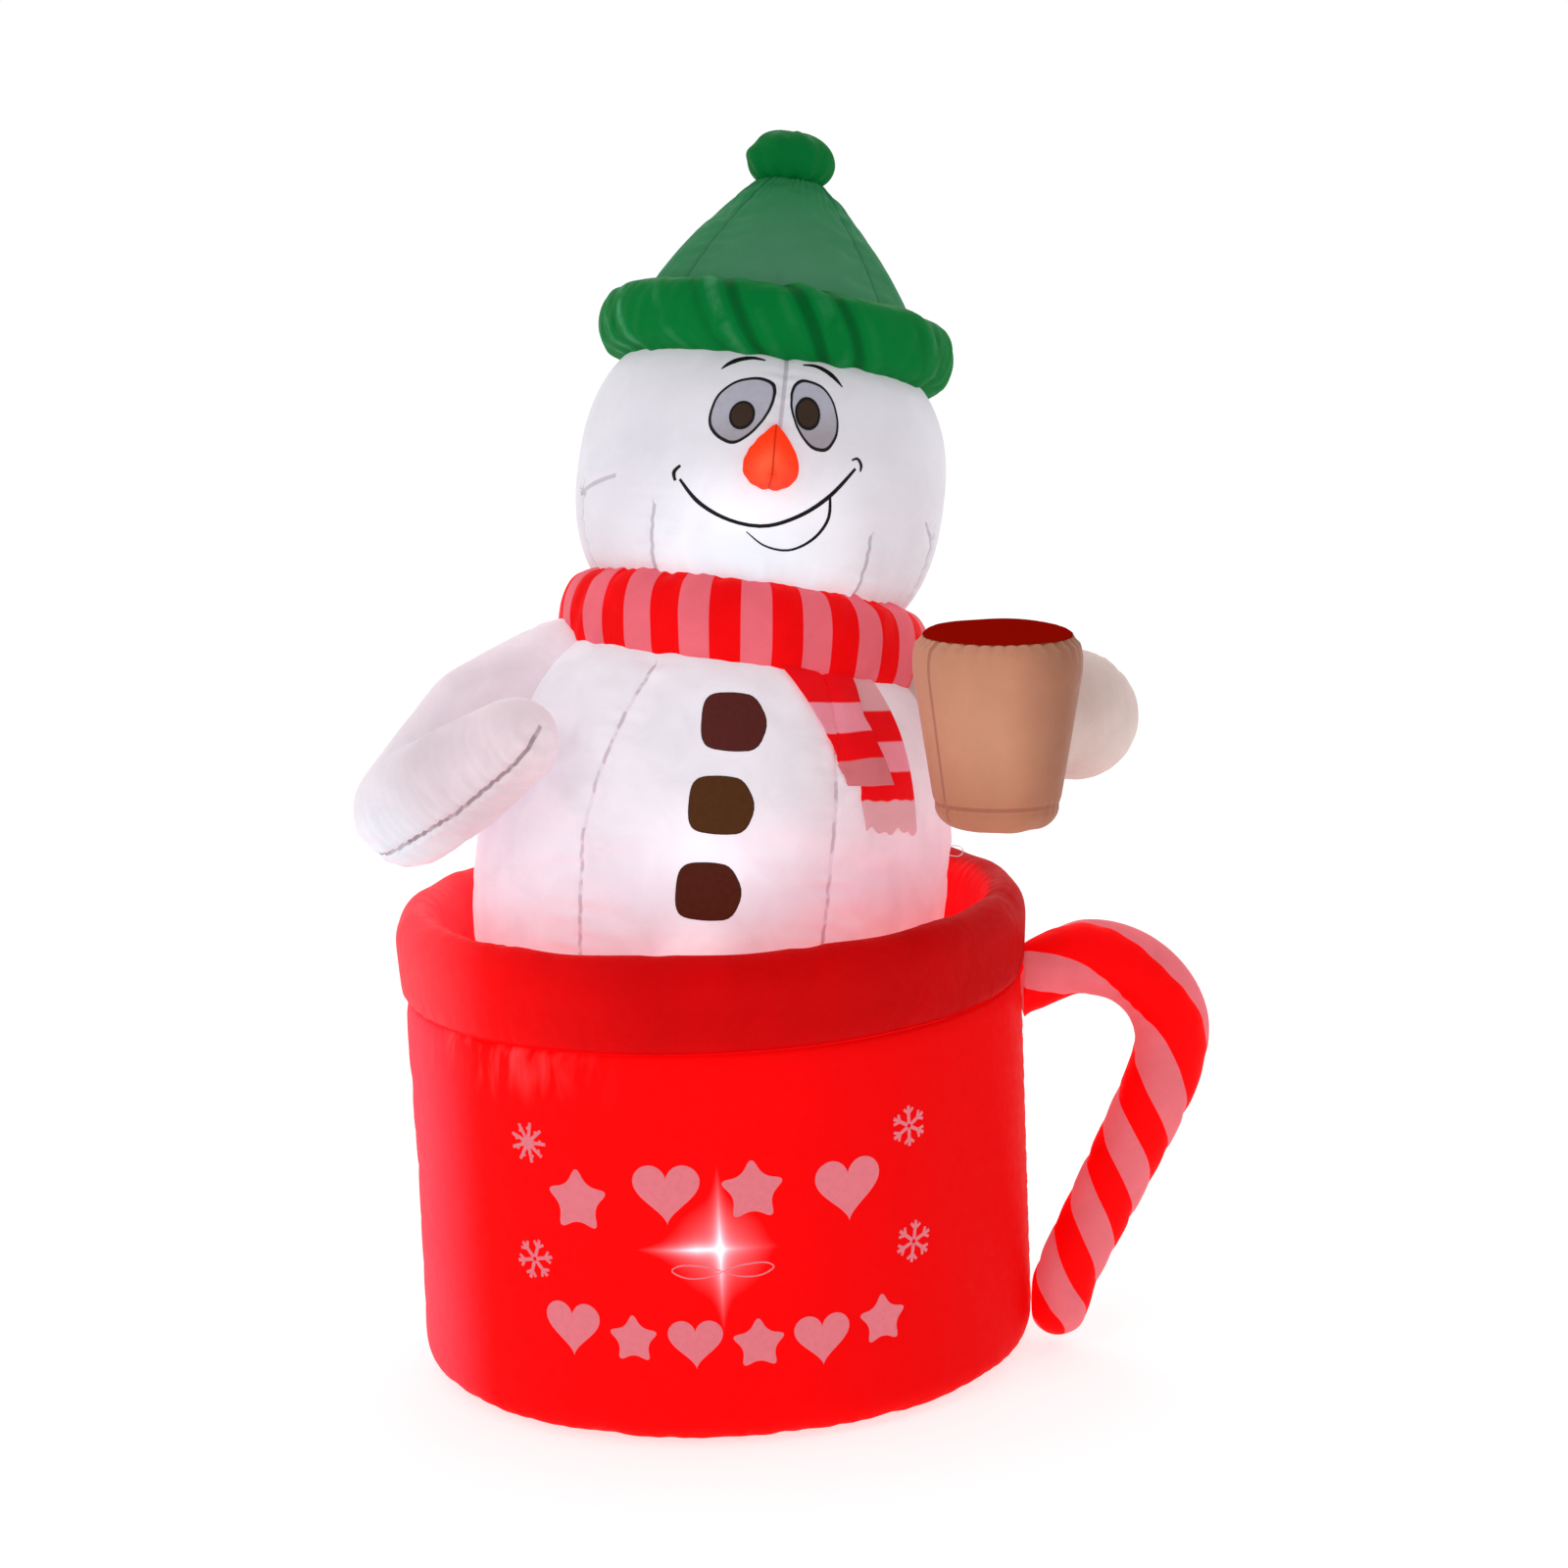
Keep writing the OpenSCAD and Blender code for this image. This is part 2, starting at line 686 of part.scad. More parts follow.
module lamp_lenses() {
    color("lightyellow") at_lamps()
        skin_of(concat([[lamp_r, 0.2]], arc(0, 14, lens_r, lens_r, -38, 90, 12)), 1.2);
}

module lamp_boards() {
    color("khaki") at_lamps() {
        translate([0, 0, -3.5]) cylinder(r = lamp_r - 1.8, h = 1.5);
        translate([-2.5, -2.5, -2]) cube([5, 5, 1.6]);
    }
}

// Webbing that carries each lamp: across the body and the head, and from the front wall in the mug.
strap_ends = [[-337.5, 325.5], [-337, 357], [-160.5, 359.5]];
strap_w = 12;
module lamp_straps() {
    low = -holder_h - 1.2;
    color("white") {
        for (i = [0:2]) translate([strap_ends[i][0], lamps[i + 1].y - strap_w / 2, lamps[i + 1].z + low])
            cube([strap_ends[i][1] - strap_ends[i][0], strap_w, 1]);
        translate([lamps[0].x - strap_w / 2, -mug_r + 4, lamps[0].z + low])
            cube([strap_w, mug_r + lamps[0].y + 6, 1]);
    }
}

// ---- Zipper ----
zip_slit = 7;
tape_w = 14;
tape_t = 1.2;
coil_r = 1.5;
tape_y = -0.3;

module zip_frame() {
    mug_frame(zip_angle, zip_foot_z) children();
}

module zipper_tape() {
    color("darkred") zip_frame() for (side = [-1, 1])
        translate([side * (zip_gap / 2 + tape_w / 2) - tape_w / 2, tape_y - tape_t, 0])
            cube([tape_w, tape_t, zip_len]);
}

module zipper_coil() {
    color("black") zip_frame() for (side = [-1, 1]) difference() {
        translate([side * (zip_gap / 2 + 1.4), tape_y - tape_t, 6]) cylinder(r = coil_r, h = zip_len - 12, $fn = 24);
        translate([-6, tape_y - tape_t, 0]) cube([12, 4, zip_len]);
    }
}

module zipper_stops() {
    color("silver") zip_frame() for (z = [0.5, zip_len - 5.5])
        translate([-3.6, tape_y - tape_t - 2, z]) cube([7.2, 2, 5]);
}

// The slider stands at the closed upper end and runs down.
slider_z = zip_len - 7 - slider_h;
plate_y = tape_y - tape_t - coil_r - 0.4;
plate_t = 1.4;
bail_y = plate_y - plate_t - 2.6;
bail_z = slider_z + slider_h - 5;
pin_r = 1;

module zipper_slider() {
    inner_y = tape_y + 0.5;
    color("silver") zip_frame() {
        translate([-5.5, plate_y - plate_t, slider_z]) cube([11, plate_t, slider_h]);
        translate([-3.2, inner_y, slider_z]) cube([6.4, plate_t, slider_h]);
        translate([-0.5, plate_y - 0.5, slider_z + 2]) cube([1, inner_y - plate_y + 1, slider_h - 4]);
        for (side = [-1, 1]) translate([side * 3 - 0.7, bail_y - 1.6, bail_z - 1.6])
            cube([1.4, plate_y - plate_t - bail_y + 2.1, 3.2]);
        translate([-3, bail_y, bail_z]) rotate([0, 90, 0]) cylinder(r = pin_r, h = 6);
    }
}

module zipper_pull() {
    color("silver") zip_frame() difference() {
        union() {
            translate([-2.1, bail_y, bail_z]) rotate([0, 90, 0]) cylinder(r = 2, h = 4.2);
            translate([-2.1, bail_y - 0.8, bail_z - 8]) cube([4.2, 1.6, 8]);
            translate([-4, bail_y - 0.8, bail_z - 28]) cube([8, 1.6, 21]);
        }
        translate([-3, bail_y, bail_z]) rotate([0, 90, 0]) cylinder(r = pin_r + 0.06, h = 6);
        translate([0, bail_y - 2, bail_z - 23]) rotate([-90, 0, 0]) cylinder(r = 2, h = 4);
    }
}

// ---- Fixings ----
tether_z = 250;
module tether_loops() {
    root_r = body_radius(tether_z) + seam_gap;
    color("white") body_frame() for (side = [-1, 1]) difference() {
        union() {
            translate([side > 0 ? root_r : -root_r - 14, -1.5, tether_z - 8.5]) cube([14, 3, 17]);
            translate([side * (root_r + 14), -1.5, tether_z]) rotate([-90, 0, 0]) cylinder(r = 8.5, h = 3);
        }
        translate([side * (root_r + 14), -3, tether_z]) rotate([-90, 0, 0]) cylinder(r = tether_hole_r, h = 6);
    }
}

tab_in = 424;
tab_out = 484;
tab_w = 30;
module at_stakes() {
    for (a = stake_angles) rotate([0, 0, a]) children();
}

module stake_loops() {
    color("firebrick") at_stakes() difference() {
        union() {
            translate([-tab_w / 2, -tab_out, 0]) cube([tab_w, tab_out - tab_in, 3]);
            translate([0, -tab_out, 0]) cylinder(r = tab_w / 2, h = 3);
        }
        translate([0, -tab_out, -1]) cylinder(r = stake_hole_r + 2.5, h = 5);
    }
}

module stake_grommets() {
    color("goldenrod") at_stakes() translate([0, -tab_out, 0]) {
        tube(stake_hole_r + 2.4, stake_hole_r, 0, 3.2);
        tube(stake_hole_r + 5, stake_hole_r, 3.2, 1);
    }
}

module care_label() {
    color("white") mug_frame(168, 400) translate([-20, -1.4, 0]) cube([40, 0.8, 62]);
}

mug_wall();
mug_base();
mug_rim();
mug_deck();
candy_cane_handle();
body_skin();
neck_baffle();
head_skin();
hat_baffle();
hat_crown();
hat_brim();
pompom();
scarf_ring();
scarf_tail_front();
scarf_tail_back();
right_arm();
left_arm();
cup_skin();
cup_drink();
carrot_nose();
button_top();
button_middle();
button_bottom();
eye_patch_right();
eye_patch_left();
pupil_right();
pupil_left();
blower_panel();
blower_housing();
blower_nut();
blower_gasket();
intake_grille();
grille_screws();
impeller();
impeller_shaft();
motor();
motor_spider();
outlet_guard();
dc_inlet();
light_socket();
light_cable();
lamp_holders();
lamp_lenses();
lamp_boards();
lamp_straps();
zipper_tape();
zipper_coil();
zipper_stops();
zipper_slider();
zipper_pull();
tether_loops();
stake_loops();
stake_grommets();
deck_straps();
care_label();
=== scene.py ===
import math

import bpy
import numpy as np
from mathutils import Matrix, Vector
from mathutils.bvhtree import BVHTree


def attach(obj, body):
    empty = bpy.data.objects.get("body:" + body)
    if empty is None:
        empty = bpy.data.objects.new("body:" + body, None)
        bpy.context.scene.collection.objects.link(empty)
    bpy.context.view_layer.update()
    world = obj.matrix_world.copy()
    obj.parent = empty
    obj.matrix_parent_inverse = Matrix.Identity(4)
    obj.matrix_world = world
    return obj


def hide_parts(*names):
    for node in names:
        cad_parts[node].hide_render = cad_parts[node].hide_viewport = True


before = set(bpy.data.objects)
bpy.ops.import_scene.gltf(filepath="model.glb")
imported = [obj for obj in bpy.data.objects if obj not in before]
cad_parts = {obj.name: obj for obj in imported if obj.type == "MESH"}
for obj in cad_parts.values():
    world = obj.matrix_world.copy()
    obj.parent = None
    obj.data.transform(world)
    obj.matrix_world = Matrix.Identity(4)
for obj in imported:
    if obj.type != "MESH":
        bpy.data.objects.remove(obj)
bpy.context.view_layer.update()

MM = 0.001
TAU = 2 * math.pi
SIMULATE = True

# ---- Frames of the chambers, in millimetres, as the CAD part sets them ----


def unit(v):
    v = np.array(v, float)
    return v / np.linalg.norm(v)


def lean_axes(back, side):
    """Rows are the x, y and z axes of a frame that leans back and towards the handle, in degrees."""
    a, b = math.radians(back), math.radians(side)
    ca, sa, cb, sb = math.cos(a), math.sin(a), math.cos(b), math.sin(b)
    return np.array([[cb, 0, -sb], [-sa * sb, ca, -sa * cb], [ca * sb, sa, ca * cb]])


WORLD = (np.zeros(3), np.eye(3))
BODY = (np.array([-22.0, 0, 535]), lean_axes(8, 8))
NECK = np.array([67.0, 77, 1077])
HEAD_AXES = lean_axes(11, 10.4)
HEAD = (NECK + 207 * HEAD_AXES[2], HEAD_AXES)
CUP = (np.array([402.0, -330, 845]), lean_axes(0, 2))
DECK_Z = 535
MUG_R = 452
RIM_SEAM_Z = 562
HAT_Z = 212


def to_world(where, p):
    return where[0] + np.asarray(p, float) @ where[1]


def to_local(where, p):
    return (np.asarray(p, float) - where[0]) @ where[1].T


def bulge(z, r, half_h, power=2.6):
    return r * np.maximum(0, 1 - (np.abs(z) / half_h) ** power) ** (1 / power)


def body_radius(z):
    z = np.asarray(z, float)
    lower = bulge(z - 240, 348, 460)
    upper = bulge(z - 240, 348, 330)
    return np.where(z < 240, lower, np.where(z < 550, upper, np.interp(z, [550, 562, 580], [168, 150, 132])))


def head_radius(z):
    return bulge(np.asarray(z, float), 267, 235)


# ---- Meshes ----


def mesh_piece(name, verts, faces):
    """A piece from points in millimetres in the row frame."""
    mesh = bpy.data.meshes.new(name)
    mesh.from_pydata((np.asarray(verts, float) * MM).tolist(), [], [list(map(int, f)) for f in faces])
    mesh.validate()
    mesh.update()
    mesh.shade_smooth()
    obj = bpy.data.objects.new(name, mesh)
    bpy.context.scene.collection.objects.link(obj)
    return obj


def grid_faces(nu, nv, wrap, start=0):
    """Faces of a grid whose point (i, j) is start + j * nu + i; i turns left to right, j climbs."""
    out = []
    for j in range(nv - 1):
        for i in range(nu if wrap else nu - 1):
            k = (i + 1) % nu
            out.append((start + j * nu + i, start + j * nu + k, start + (j + 1) * nu + k, start + (j + 1) * nu + i))
    return out


def grid_piece(name, points, wrap=True, cap_low=False, cap_high=False):
    """points is an array of rows (nv, nu, 3) in the row frame."""
    nv, nu, _ = points.shape
    verts = points.reshape(-1, 3)
    faces = grid_faces(nu, nv, wrap)
    for cap, row, order in ((cap_low, 0, -1), (cap_high, nv - 1, 1)):
        if cap:
            centre = len(verts)
            verts = np.vstack([verts, points[row].mean(0)])
            for i in range(nu):
                pair = (row * nu + i, row * nu + (i + 1) % nu)[::order]
                faces.append((pair[0], pair[1], centre))
    return mesh_piece(name, verts, faces)


def joined_piece(name, grids, wrap=False):
    """One piece from several arrays of rows."""
    verts, faces, start = [], [], 0
    for rows in grids:
        nv, nu, _ = rows.shape
        verts.append(rows.reshape(-1, 3))
        faces += grid_faces(nu, nv, wrap, start)
        start += nv * nu
    return mesh_piece(name, np.vstack(verts), faces)


def resample(profile, step):
    """The same line with evenly spread points about step apart."""
    p = np.array(profile, float)
    t = np.concatenate([[0], np.cumsum(np.linalg.norm(np.diff(p, axis=0), axis=1))])
    s = np.linspace(0, t[-1], max(2, round(t[-1] / step)) + 1)
    return np.stack([np.interp(s, t, p[:, i]) for i in range(p.shape[1])], 1)


def arc(cr, cz, a, b, start, end, n=24):
    w = np.radians(np.linspace(start, end, n + 1))
    return [(cr + a * math.cos(x), cz + b * math.sin(x)) for x in w]


def spun(profile, angles):
    """Rows of points of a profile (r, z) turned to each angle, in radians from the front."""
    p = np.array(profile, float)
    return np.stack([np.outer(p[:, 0], np.sin(angles)), -np.outer(p[:, 0], np.cos(angles)),
                     np.repeat(p[:, 1:2], len(angles), 1)], -1)


def full_turn(columns):
    return np.radians(np.linspace(-180, 180, columns, endpoint=False))


def turned(name, profile, columns, where, cap_high=False):
    """Surface of revolution: its profile climbs the outer side."""
    return grid_piece(name, to_world(where, spun(profile, full_turn(columns))), True, False, cap_high)


def coords(obj):
    co = np.zeros(len(obj.data.vertices) * 3)
    obj.data.vertices.foreach_get("co", co)
    return co.reshape(-1, 3) / MM


def set_coords(obj, co):
    obj.data.vertices.foreach_set("co", (np.asarray(co) * MM).ravel())
    obj.data.update()


def normals(obj):
    n = np.zeros(len(obj.data.vertices) * 3)
    obj.data.vertices.foreach_get("normal", n)
    return n.reshape(-1, 3)


def store(obj, name, values):
    """Keeps a value or a vector for each point, for the materials."""
    values = np.asarray(values, np.float32)
    kind, field = ("FLOAT_VECTOR", "vector") if values.ndim == 2 else ("FLOAT", "value")
    layer = obj.data.attributes.new(name, kind, "POINT")
    layer.data.foreach_set(field, values.ravel())


def cylindrical(where, co):
    """Angle from the front in degrees, height and radius in a frame."""
    p = to_local(where, co)
    return np.degrees(np.arctan2(p[:, 0], -p[:, 1])), p[:, 2], np.hypot(p[:, 0], p[:, 1])


def relief(obj, where, height):
    """Moves each point along its normal by height(angle, z, r), in millimetres."""
    co = coords(obj)
    set_coords(obj, co + normals(obj) * height(*cylindrical(where, co))[:, None])


def bake_modifiers(obj):
    graph = bpy.context.evaluated_depsgraph_get()
    mesh = bpy.data.meshes.new_from_object(obj.evaluated_get(graph))
    obj.modifiers.clear()
    obj.data = mesh
    mesh.shade_smooth()


def subdivide(obj, levels=1):
    m = obj.modifiers.new("fine", "SUBSURF")
    m.levels = m.render_levels = levels
    m.boundary_smooth = "PRESERVE_CORNERS"
    bake_modifiers(obj)


def thicken(obj, t=2.0, offset=-1):
    m = obj.modifiers.new("thickness", "SOLIDIFY")
    m.thickness = t * MM
    m.offset = offset
    bake_modifiers(obj)


def turns(angle, seed, waves=5, low=3, high=9):
    """Smooth repeatable noise that closes on itself once round, one sine a wave; angle in degrees."""
    rng = np.random.default_rng(seed)
    out = np.zeros_like(np.asarray(angle, float))
    for _ in range(waves):
        n = rng.integers(low, high + 1)
        out += rng.uniform(0.4, 1) * np.sin(np.radians(angle) * n + rng.uniform(0, TAU))
    return out / waves * 1.6


def bump(x, width):
    return np.exp(-((x / width) ** 2))


def tube_angle(z, r, centre_z, centre_r):
    """Angle round a rolled tube's own middle, in degrees from its outer side."""
    return np.degrees(np.arctan2(z - centre_z, r - centre_r))


def turn_gap(a, b):
    """Signed difference of two angles in degrees."""
    return (a - b + 180) % 360 - 180


# ---- Sewn seams ----


def seam_distance(angle, z, r, seams):
    """Nearest seam: signed arc distance and its own size. Each seam is (angles, heights)."""
    best = np.full(len(angle), 1e6)
    for angles, heights in seams:
        d = np.radians(turn_gap(angle, np.interp(z, heights, angles))) * r
        outside = np.maximum(0, heights[0] - z) + np.maximum(0, z - heights[-1])
        d = np.where(outside > 0, np.sign(d + 1e-9) * np.hypot(d, outside), d)
        best = np.where(np.abs(d) < np.abs(best), d, best)
    return best


def straight(angle, low, high):
    return ([angle, angle], [low, high])


def mark_seams(obj, signed, along):
    """Stores the distance to the nearest seam for the material: signed, unsigned and length along it."""
    signed = np.clip(signed, -90, 90)
    store(obj, "seam", np.stack([signed, np.abs(signed), along], 1))


def mark_sewn(obj, where, seams):
    a, z, r = cylindrical(where, coords(obj))
    mark_seams(obj, seam_distance(a, z, r, seams), z)


def seam_relief(d, along, depth=3.0, tuck=2.0, pitch=26, reach=22, seed=1):
    """Groove at a seam with tucks running out from it."""
    size = np.abs(d)
    beat = np.sin(TAU * along / pitch + 1.5 * np.sin(along / 37 + seed))
    beat += 0.6 * np.sin(TAU * along / (pitch * 0.61) + seed)
    return -depth * bump(d, 5.5) + tuck * beat * np.exp(-size / reach) * (1 - 0.6 * bump(d, 4))


# ---- Cloth ----

waiting = []


def edge_points(obj):
    """Points on open edges."""
    count = {}
    for p in obj.data.polygons:
        for k in p.edge_keys:
            count[k] = count.get(k, 0) + 1
    out = np.zeros(len(obj.data.vertices), bool)
    for (a, b), n in count.items():
        if n == 1:
            out[a] = out[b] = True
    return out


def inflate(obj, held, grow, pressure, cap):
    """Queues a skin for the cloth run: open edges and held points stay, the rest fills with air."""
    if SIMULATE:
        waiting.append((obj, edge_points(obj) | held, grow, pressure, cap))


def run_cloth(frames=18):
    """Runs every queued skin together, then caps how far its points moved and drops the modifier."""
    scene = bpy.context.scene
    for obj, pinned, grow, pressure, cap in waiting:
        group = obj.vertex_groups.new(name="pin")
        group.add([int(i) for i in np.nonzero(pinned)[0]], 1.0, "REPLACE")
        cloth = obj.modifiers.new("cloth", "CLOTH")
        s = cloth.settings
        s.quality = 5
        s.mass = 0.2
        s.air_damping = 2.0
        s.tension_stiffness = s.compression_stiffness = 20
        s.shear_stiffness = 8
        s.bending_stiffness = 0.1
        s.tension_damping = s.compression_damping = 10
        s.use_pressure = True
        s.uniform_pressure_force = pressure
        s.shrink_min = -grow
        s.vertex_group_mass = "pin"
        s.effector_weights.gravity = 0
        cloth.collision_settings.use_collision = False
        cloth.point_cache.frame_start = 1
        cloth.point_cache.frame_end = frames
    for f in range(1, frames + 1):
        scene.frame_set(f)
    graph = bpy.context.evaluated_depsgraph_get()
    for obj, pinned, grow, pressure, cap in waiting:
        rest = coords(obj)
        result = obj.evaluated_get(graph)
        co = np.zeros(len(result.data.vertices) * 3)
        result.data.vertices.foreach_get("co", co)
        move = co.reshape(-1, 3) / MM - rest
        size = np.linalg.norm(move, axis=1, keepdims=True)
        move *= cap * np.tanh(size / cap) / np.maximum(size, 1e-6)
        obj.modifiers.clear()
        obj.vertex_groups.clear()
        set_coords(obj, rest + move)
        print("CLOTH", obj.name, "largest move", round(float(size.max()), 1), "mean", round(float(size.mean()), 2))
    scene.frame_set(1)
    waiting.clear()


# ---- Materials ----


def srgb(r, g, b):
    def lin(c):
        c /= 255
        return c / 12.92 if c <= 0.04045 else ((c + 0.055) / 1.055) ** 2.4
    return (lin(r), lin(g), lin(b), 1)


def grey(level):
    return (level, level, level, 1)


def dimmed(colour, share):
    return tuple(c * share for c in colour[:3]) + (1,)


class Shader:
    """A material under construction; its helpers return sockets."""

    def __init__(self, name):
        self.material = bpy.data.materials.new(name)
        self.material.use_nodes = True
        self.tree = self.material.node_tree
        self.tree.nodes.clear()
        self.bsdf = self.tree.nodes.new("ShaderNodeBsdfPrincipled")
        out = self.tree.nodes.new("ShaderNodeOutputMaterial")
        self.tree.links.new(self.bsdf.outputs[0], out.inputs[0])
        self.object_space = self.tree.nodes.new("ShaderNodeTexCoord").outputs["Object"]

    def put(self, socket, value):
        if isinstance(value, bpy.types.NodeSocket):
            self.tree.links.new(value, socket)
        else:
            socket.default_value = value

    def node(self, kind, out=0, settings=None, **inputs):
        n = self.tree.nodes.new(kind)
        for k, v in (settings or {}).items():
            setattr(n, k, v)
        for k, v in inputs.items():
            self.put(n.inputs[int(k[1:]) if k[0] == "i" and k[1:].isdigit() else k], v)
        return n.outputs[out]

    def math(self, op, a, b=0.0, c=0.0):
        return self.node("ShaderNodeMath", settings={"operation": op}, i0=a, i1=b, i2=c)

    def times(self, a, b):
        return self.math("MULTIPLY", a, b)

    def plus(self, a, b):
        return self.math("ADD", a, b)

    def mix(self, fac, a, b, blend="MIX"):
        n = self.tree.nodes.new("ShaderNodeMix")
        n.data_type = "RGBA"
        n.blend_type = blend
        self.put(n.inputs[0], fac)
        self.put(n.inputs[6], a)
        self.put(n.inputs[7], b)
        return n.outputs[2]

    def span(self, value, low, high, to_low=0.0, to_high=1.0, smooth=False):
        n = self.tree.nodes.new("ShaderNodeMapRange")
        n.interpolation_type = "SMOOTHSTEP" if smooth else "LINEAR"
        for i, v in enumerate((value, low, high, to_low, to_high)):
            self.put(n.inputs[i], v)
        return n.outputs[0]

    def noise(self, scale, detail=2.0, rough=0.5, distort=0.0, stretch=None):
        where = self.object_space
        if stretch:
            where = self.node("ShaderNodeMapping", Vector=where, Scale=stretch)
        return self.node("ShaderNodeTexNoise", Vector=where, Scale=scale, Detail=detail,
                         Roughness=rough, Distortion=distort)

    def attribute(self, name, out="Fac"):
        n = self.tree.nodes.new("ShaderNodeAttribute")
        n.attribute_name = name
        return n.outputs[out]

    def xyz(self, vector):
        return self.node("ShaderNodeSeparateXYZ", i0=vector).node.outputs

    def axis(self, n):
        """Object coordinate along one axis, in millimetres."""
        return self.times(self.xyz(self.object_space)[n], 1 / MM)

    def graded(self, tone, n, low, high, share, other):
        """Blends to another colour between two places along an axis."""
        return self.mix(self.span(self.axis(n), low, high, 0.0, share, True), tone, other)

    def tinted(self, tone, point, radius, share, other):
        """Blends to another colour around a point."""
        return self.mix(self.times(self.near(point, radius), share), tone, other)

    def shaded(self, colour, height, low, high, share, shade):
        """Multiplies a colour by a shade where a height is high."""
        return self.mix(self.span(height, low, high, 0.0, share), colour, self.mix(1.0, colour, shade, "MULTIPLY"))

    def near(self, point, radius):
        """1 at a point given in millimetres, falling to 0 with distance."""
        d = self.node("ShaderNodeVectorMath", out="Value", settings={"operation": "DISTANCE"},
                      i0=self.object_space, i1=[x * MM for x in point])
        ratio = self.math("DIVIDE", d, radius * MM)
        return self.math("EXPONENT", self.times(self.times(ratio, ratio), -1.0))

    def weave(self, pitch=1.6):
        """Height of a plain weave of threads, pitch in millimetres."""
        k = TAU / (pitch * MM)
        x, y, z = self.xyz(self.object_space)
        across = self.math("SINE", self.times(self.plus(x, y), k))
        return self.times(across, self.math("SINE", self.times(z, k)))

    def bumped(self, *layers):
        """Bump from (height socket, strength, distance in mm) layers."""
        normal = None
        for height, strength, distance in layers:
            n = self.tree.nodes.new("ShaderNodeBump")
            self.put(n.inputs["Strength"], strength)
            self.put(n.inputs["Distance"], distance * MM)
            self.put(n.inputs["Height"], height)
            if normal:
                self.put(n.inputs["Normal"], normal)
            normal = n.outputs[0]
        self.put(self.bsdf.inputs["Normal"], normal)

    def finish(self, colour, rough, specular, metallic=0.0, sheen=0.0):
        b = self.bsdf.inputs
        self.put(b["Base Color"], colour)
        self.put(b["Roughness"], rough)
        b["Specular IOR Level"].default_value = specular
        b["Metallic"].default_value = metallic
        b["Sheen Weight"].default_value = sheen
        return self.material

    def lit(self, colour, strength):
        self.put(self.bsdf.inputs["Emission Color"], colour)
        self.put(self.bsdf.inputs["Emission Strength"], strength)


def seam_line(s, half_width=2.2, dash=0.0):
    """1 on a sewn seam, from the piece's stored distances."""
    signed, size, _ = s.xyz(s.attribute("seam", "Vector"))
    thin = s.span(s.math("ABSOLUTE", signed), half_width, half_width + 1.6, 1.0, 0.0)
    line = s.times(thin, s.span(size, 8.0, 12.0, 1.0, 0.0))
    if dash:
        line = s.times(line, s.span(s.noise(55.0, 1.0), 0.42, 0.56, 1.0 - dash, 1.0))
    return line


def fabric(name, colour_of, glow, crinkle=0.35, seam=None, seam_width=2.2, dash=0.0, glows=(), glow_colour=None,
           crinkle_scale=14.0, sheen=0.15, specular=0.2):
    """Thin coated polyester. colour_of(shader) gives its colour, seam is a colour and its share, and glows are
    (point, radius, strength)."""
    s = Shader(name)
    colour = colour_of(s)
    colour = s.shaded(colour, s.noise(6.0, 3.0, 0.55), 0.35, 0.7, 0.16, (0.82, 0.80, 0.84, 1))
    thread = s.noise(700.0, 1.0, 0.5, stretch=(1, 1, 0.25))
    colour = s.shaded(colour, thread, 0.35, 0.65, 0.10, grey(0.78))
    if seam:
        line = seam_line(s, seam_width, dash)
        colour = s.mix(s.times(line, seam[1]), colour, seam[0])
    total = glow
    for point, radius, strength in glows:
        total = s.plus(s.times(s.near(point, radius), strength), total)
    fold = s.noise(crinkle_scale, 4.0, 0.55, 0.6)
    fine = s.noise(70.0, 2.0, 0.5, 0.3)
    s.bumped((fold, crinkle, 9.0), (fine, crinkle * 0.5, 1.2), (s.weave(), 0.12, 0.12))
    total = s.times(total, s.span(fold, 0.32, 0.68, 0.84, 1.14))
    if seam:
        total = s.times(total, s.span(line, 0.0, 1.0, 1.0, 0.45))
    s.lit(s.mix(0.6, colour, glow_colour) if glow_colour else colour, total)
    return s.finish(colour, s.span(fine, 0.3, 0.7, 0.55, 0.69), specular, sheen=sheen)


def matte(name, colour_of, glow, specular=0.04, **other):
    """Strongly coloured fabric, which shows no sheen."""
    return fabric(name, colour_of, glow, sheen=0.0, specular=specular, **other)


def plain(colour):
    return lambda s: colour


def hard(name, colour, rough=0.4, metallic=0.0, grain=60.0, bump_strength=0.15, specular=0.5, streak=None,
         glow=0.0):
    """Moulded plastic, rubber or metal with a fine grain and slight colour variation."""
    s = Shader(name)
    big = s.noise(grain * 0.3, 3.0)
    fine = s.noise(grain * 12, 2.0, stretch=streak)
    tone = s.mix(s.span(big, 0.35, 0.7, 0.0, 0.5), colour, dimmed(colour, 0.72))
    s.bumped((fine, bump_strength, 0.15))
    if glow:
        s.lit((1, 0.96, 0.9, 1), glow)
    return s.finish(tone, s.span(fine, 0.3, 0.7, max(0.02, rough - 0.08), rough + 0.1), specular, metallic)


def give(obj, material):
    obj.data.materials.clear()
    obj.data.materials.append(material)


RED = srgb(238, 5, 7)
RED_DEEP = srgb(205, 3, 5)
PINK = srgb(214, 104, 112)
WHITE = srgb(218, 210, 219)
GREEN = srgb(1, 108, 46)
DRINK = srgb(126, 8, 0)
BLACK = srgb(16, 14, 16)
EYE_GREY = srgb(152, 150, 162)
WARM_WHITE = (1.0, 0.97, 0.99, 1)
PALE_PINK = srgb(208, 108, 118)


# ---- Placing pieces ----


def place(obj, material, slot, *nodes, body="envelope", fill=None):
    """Rides, hides the CAD nodes it stands for, and takes its finish."""
    give(obj, material)
    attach(obj, body)
    if nodes:
        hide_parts(*nodes)
    return obj


# ================= Camera =================


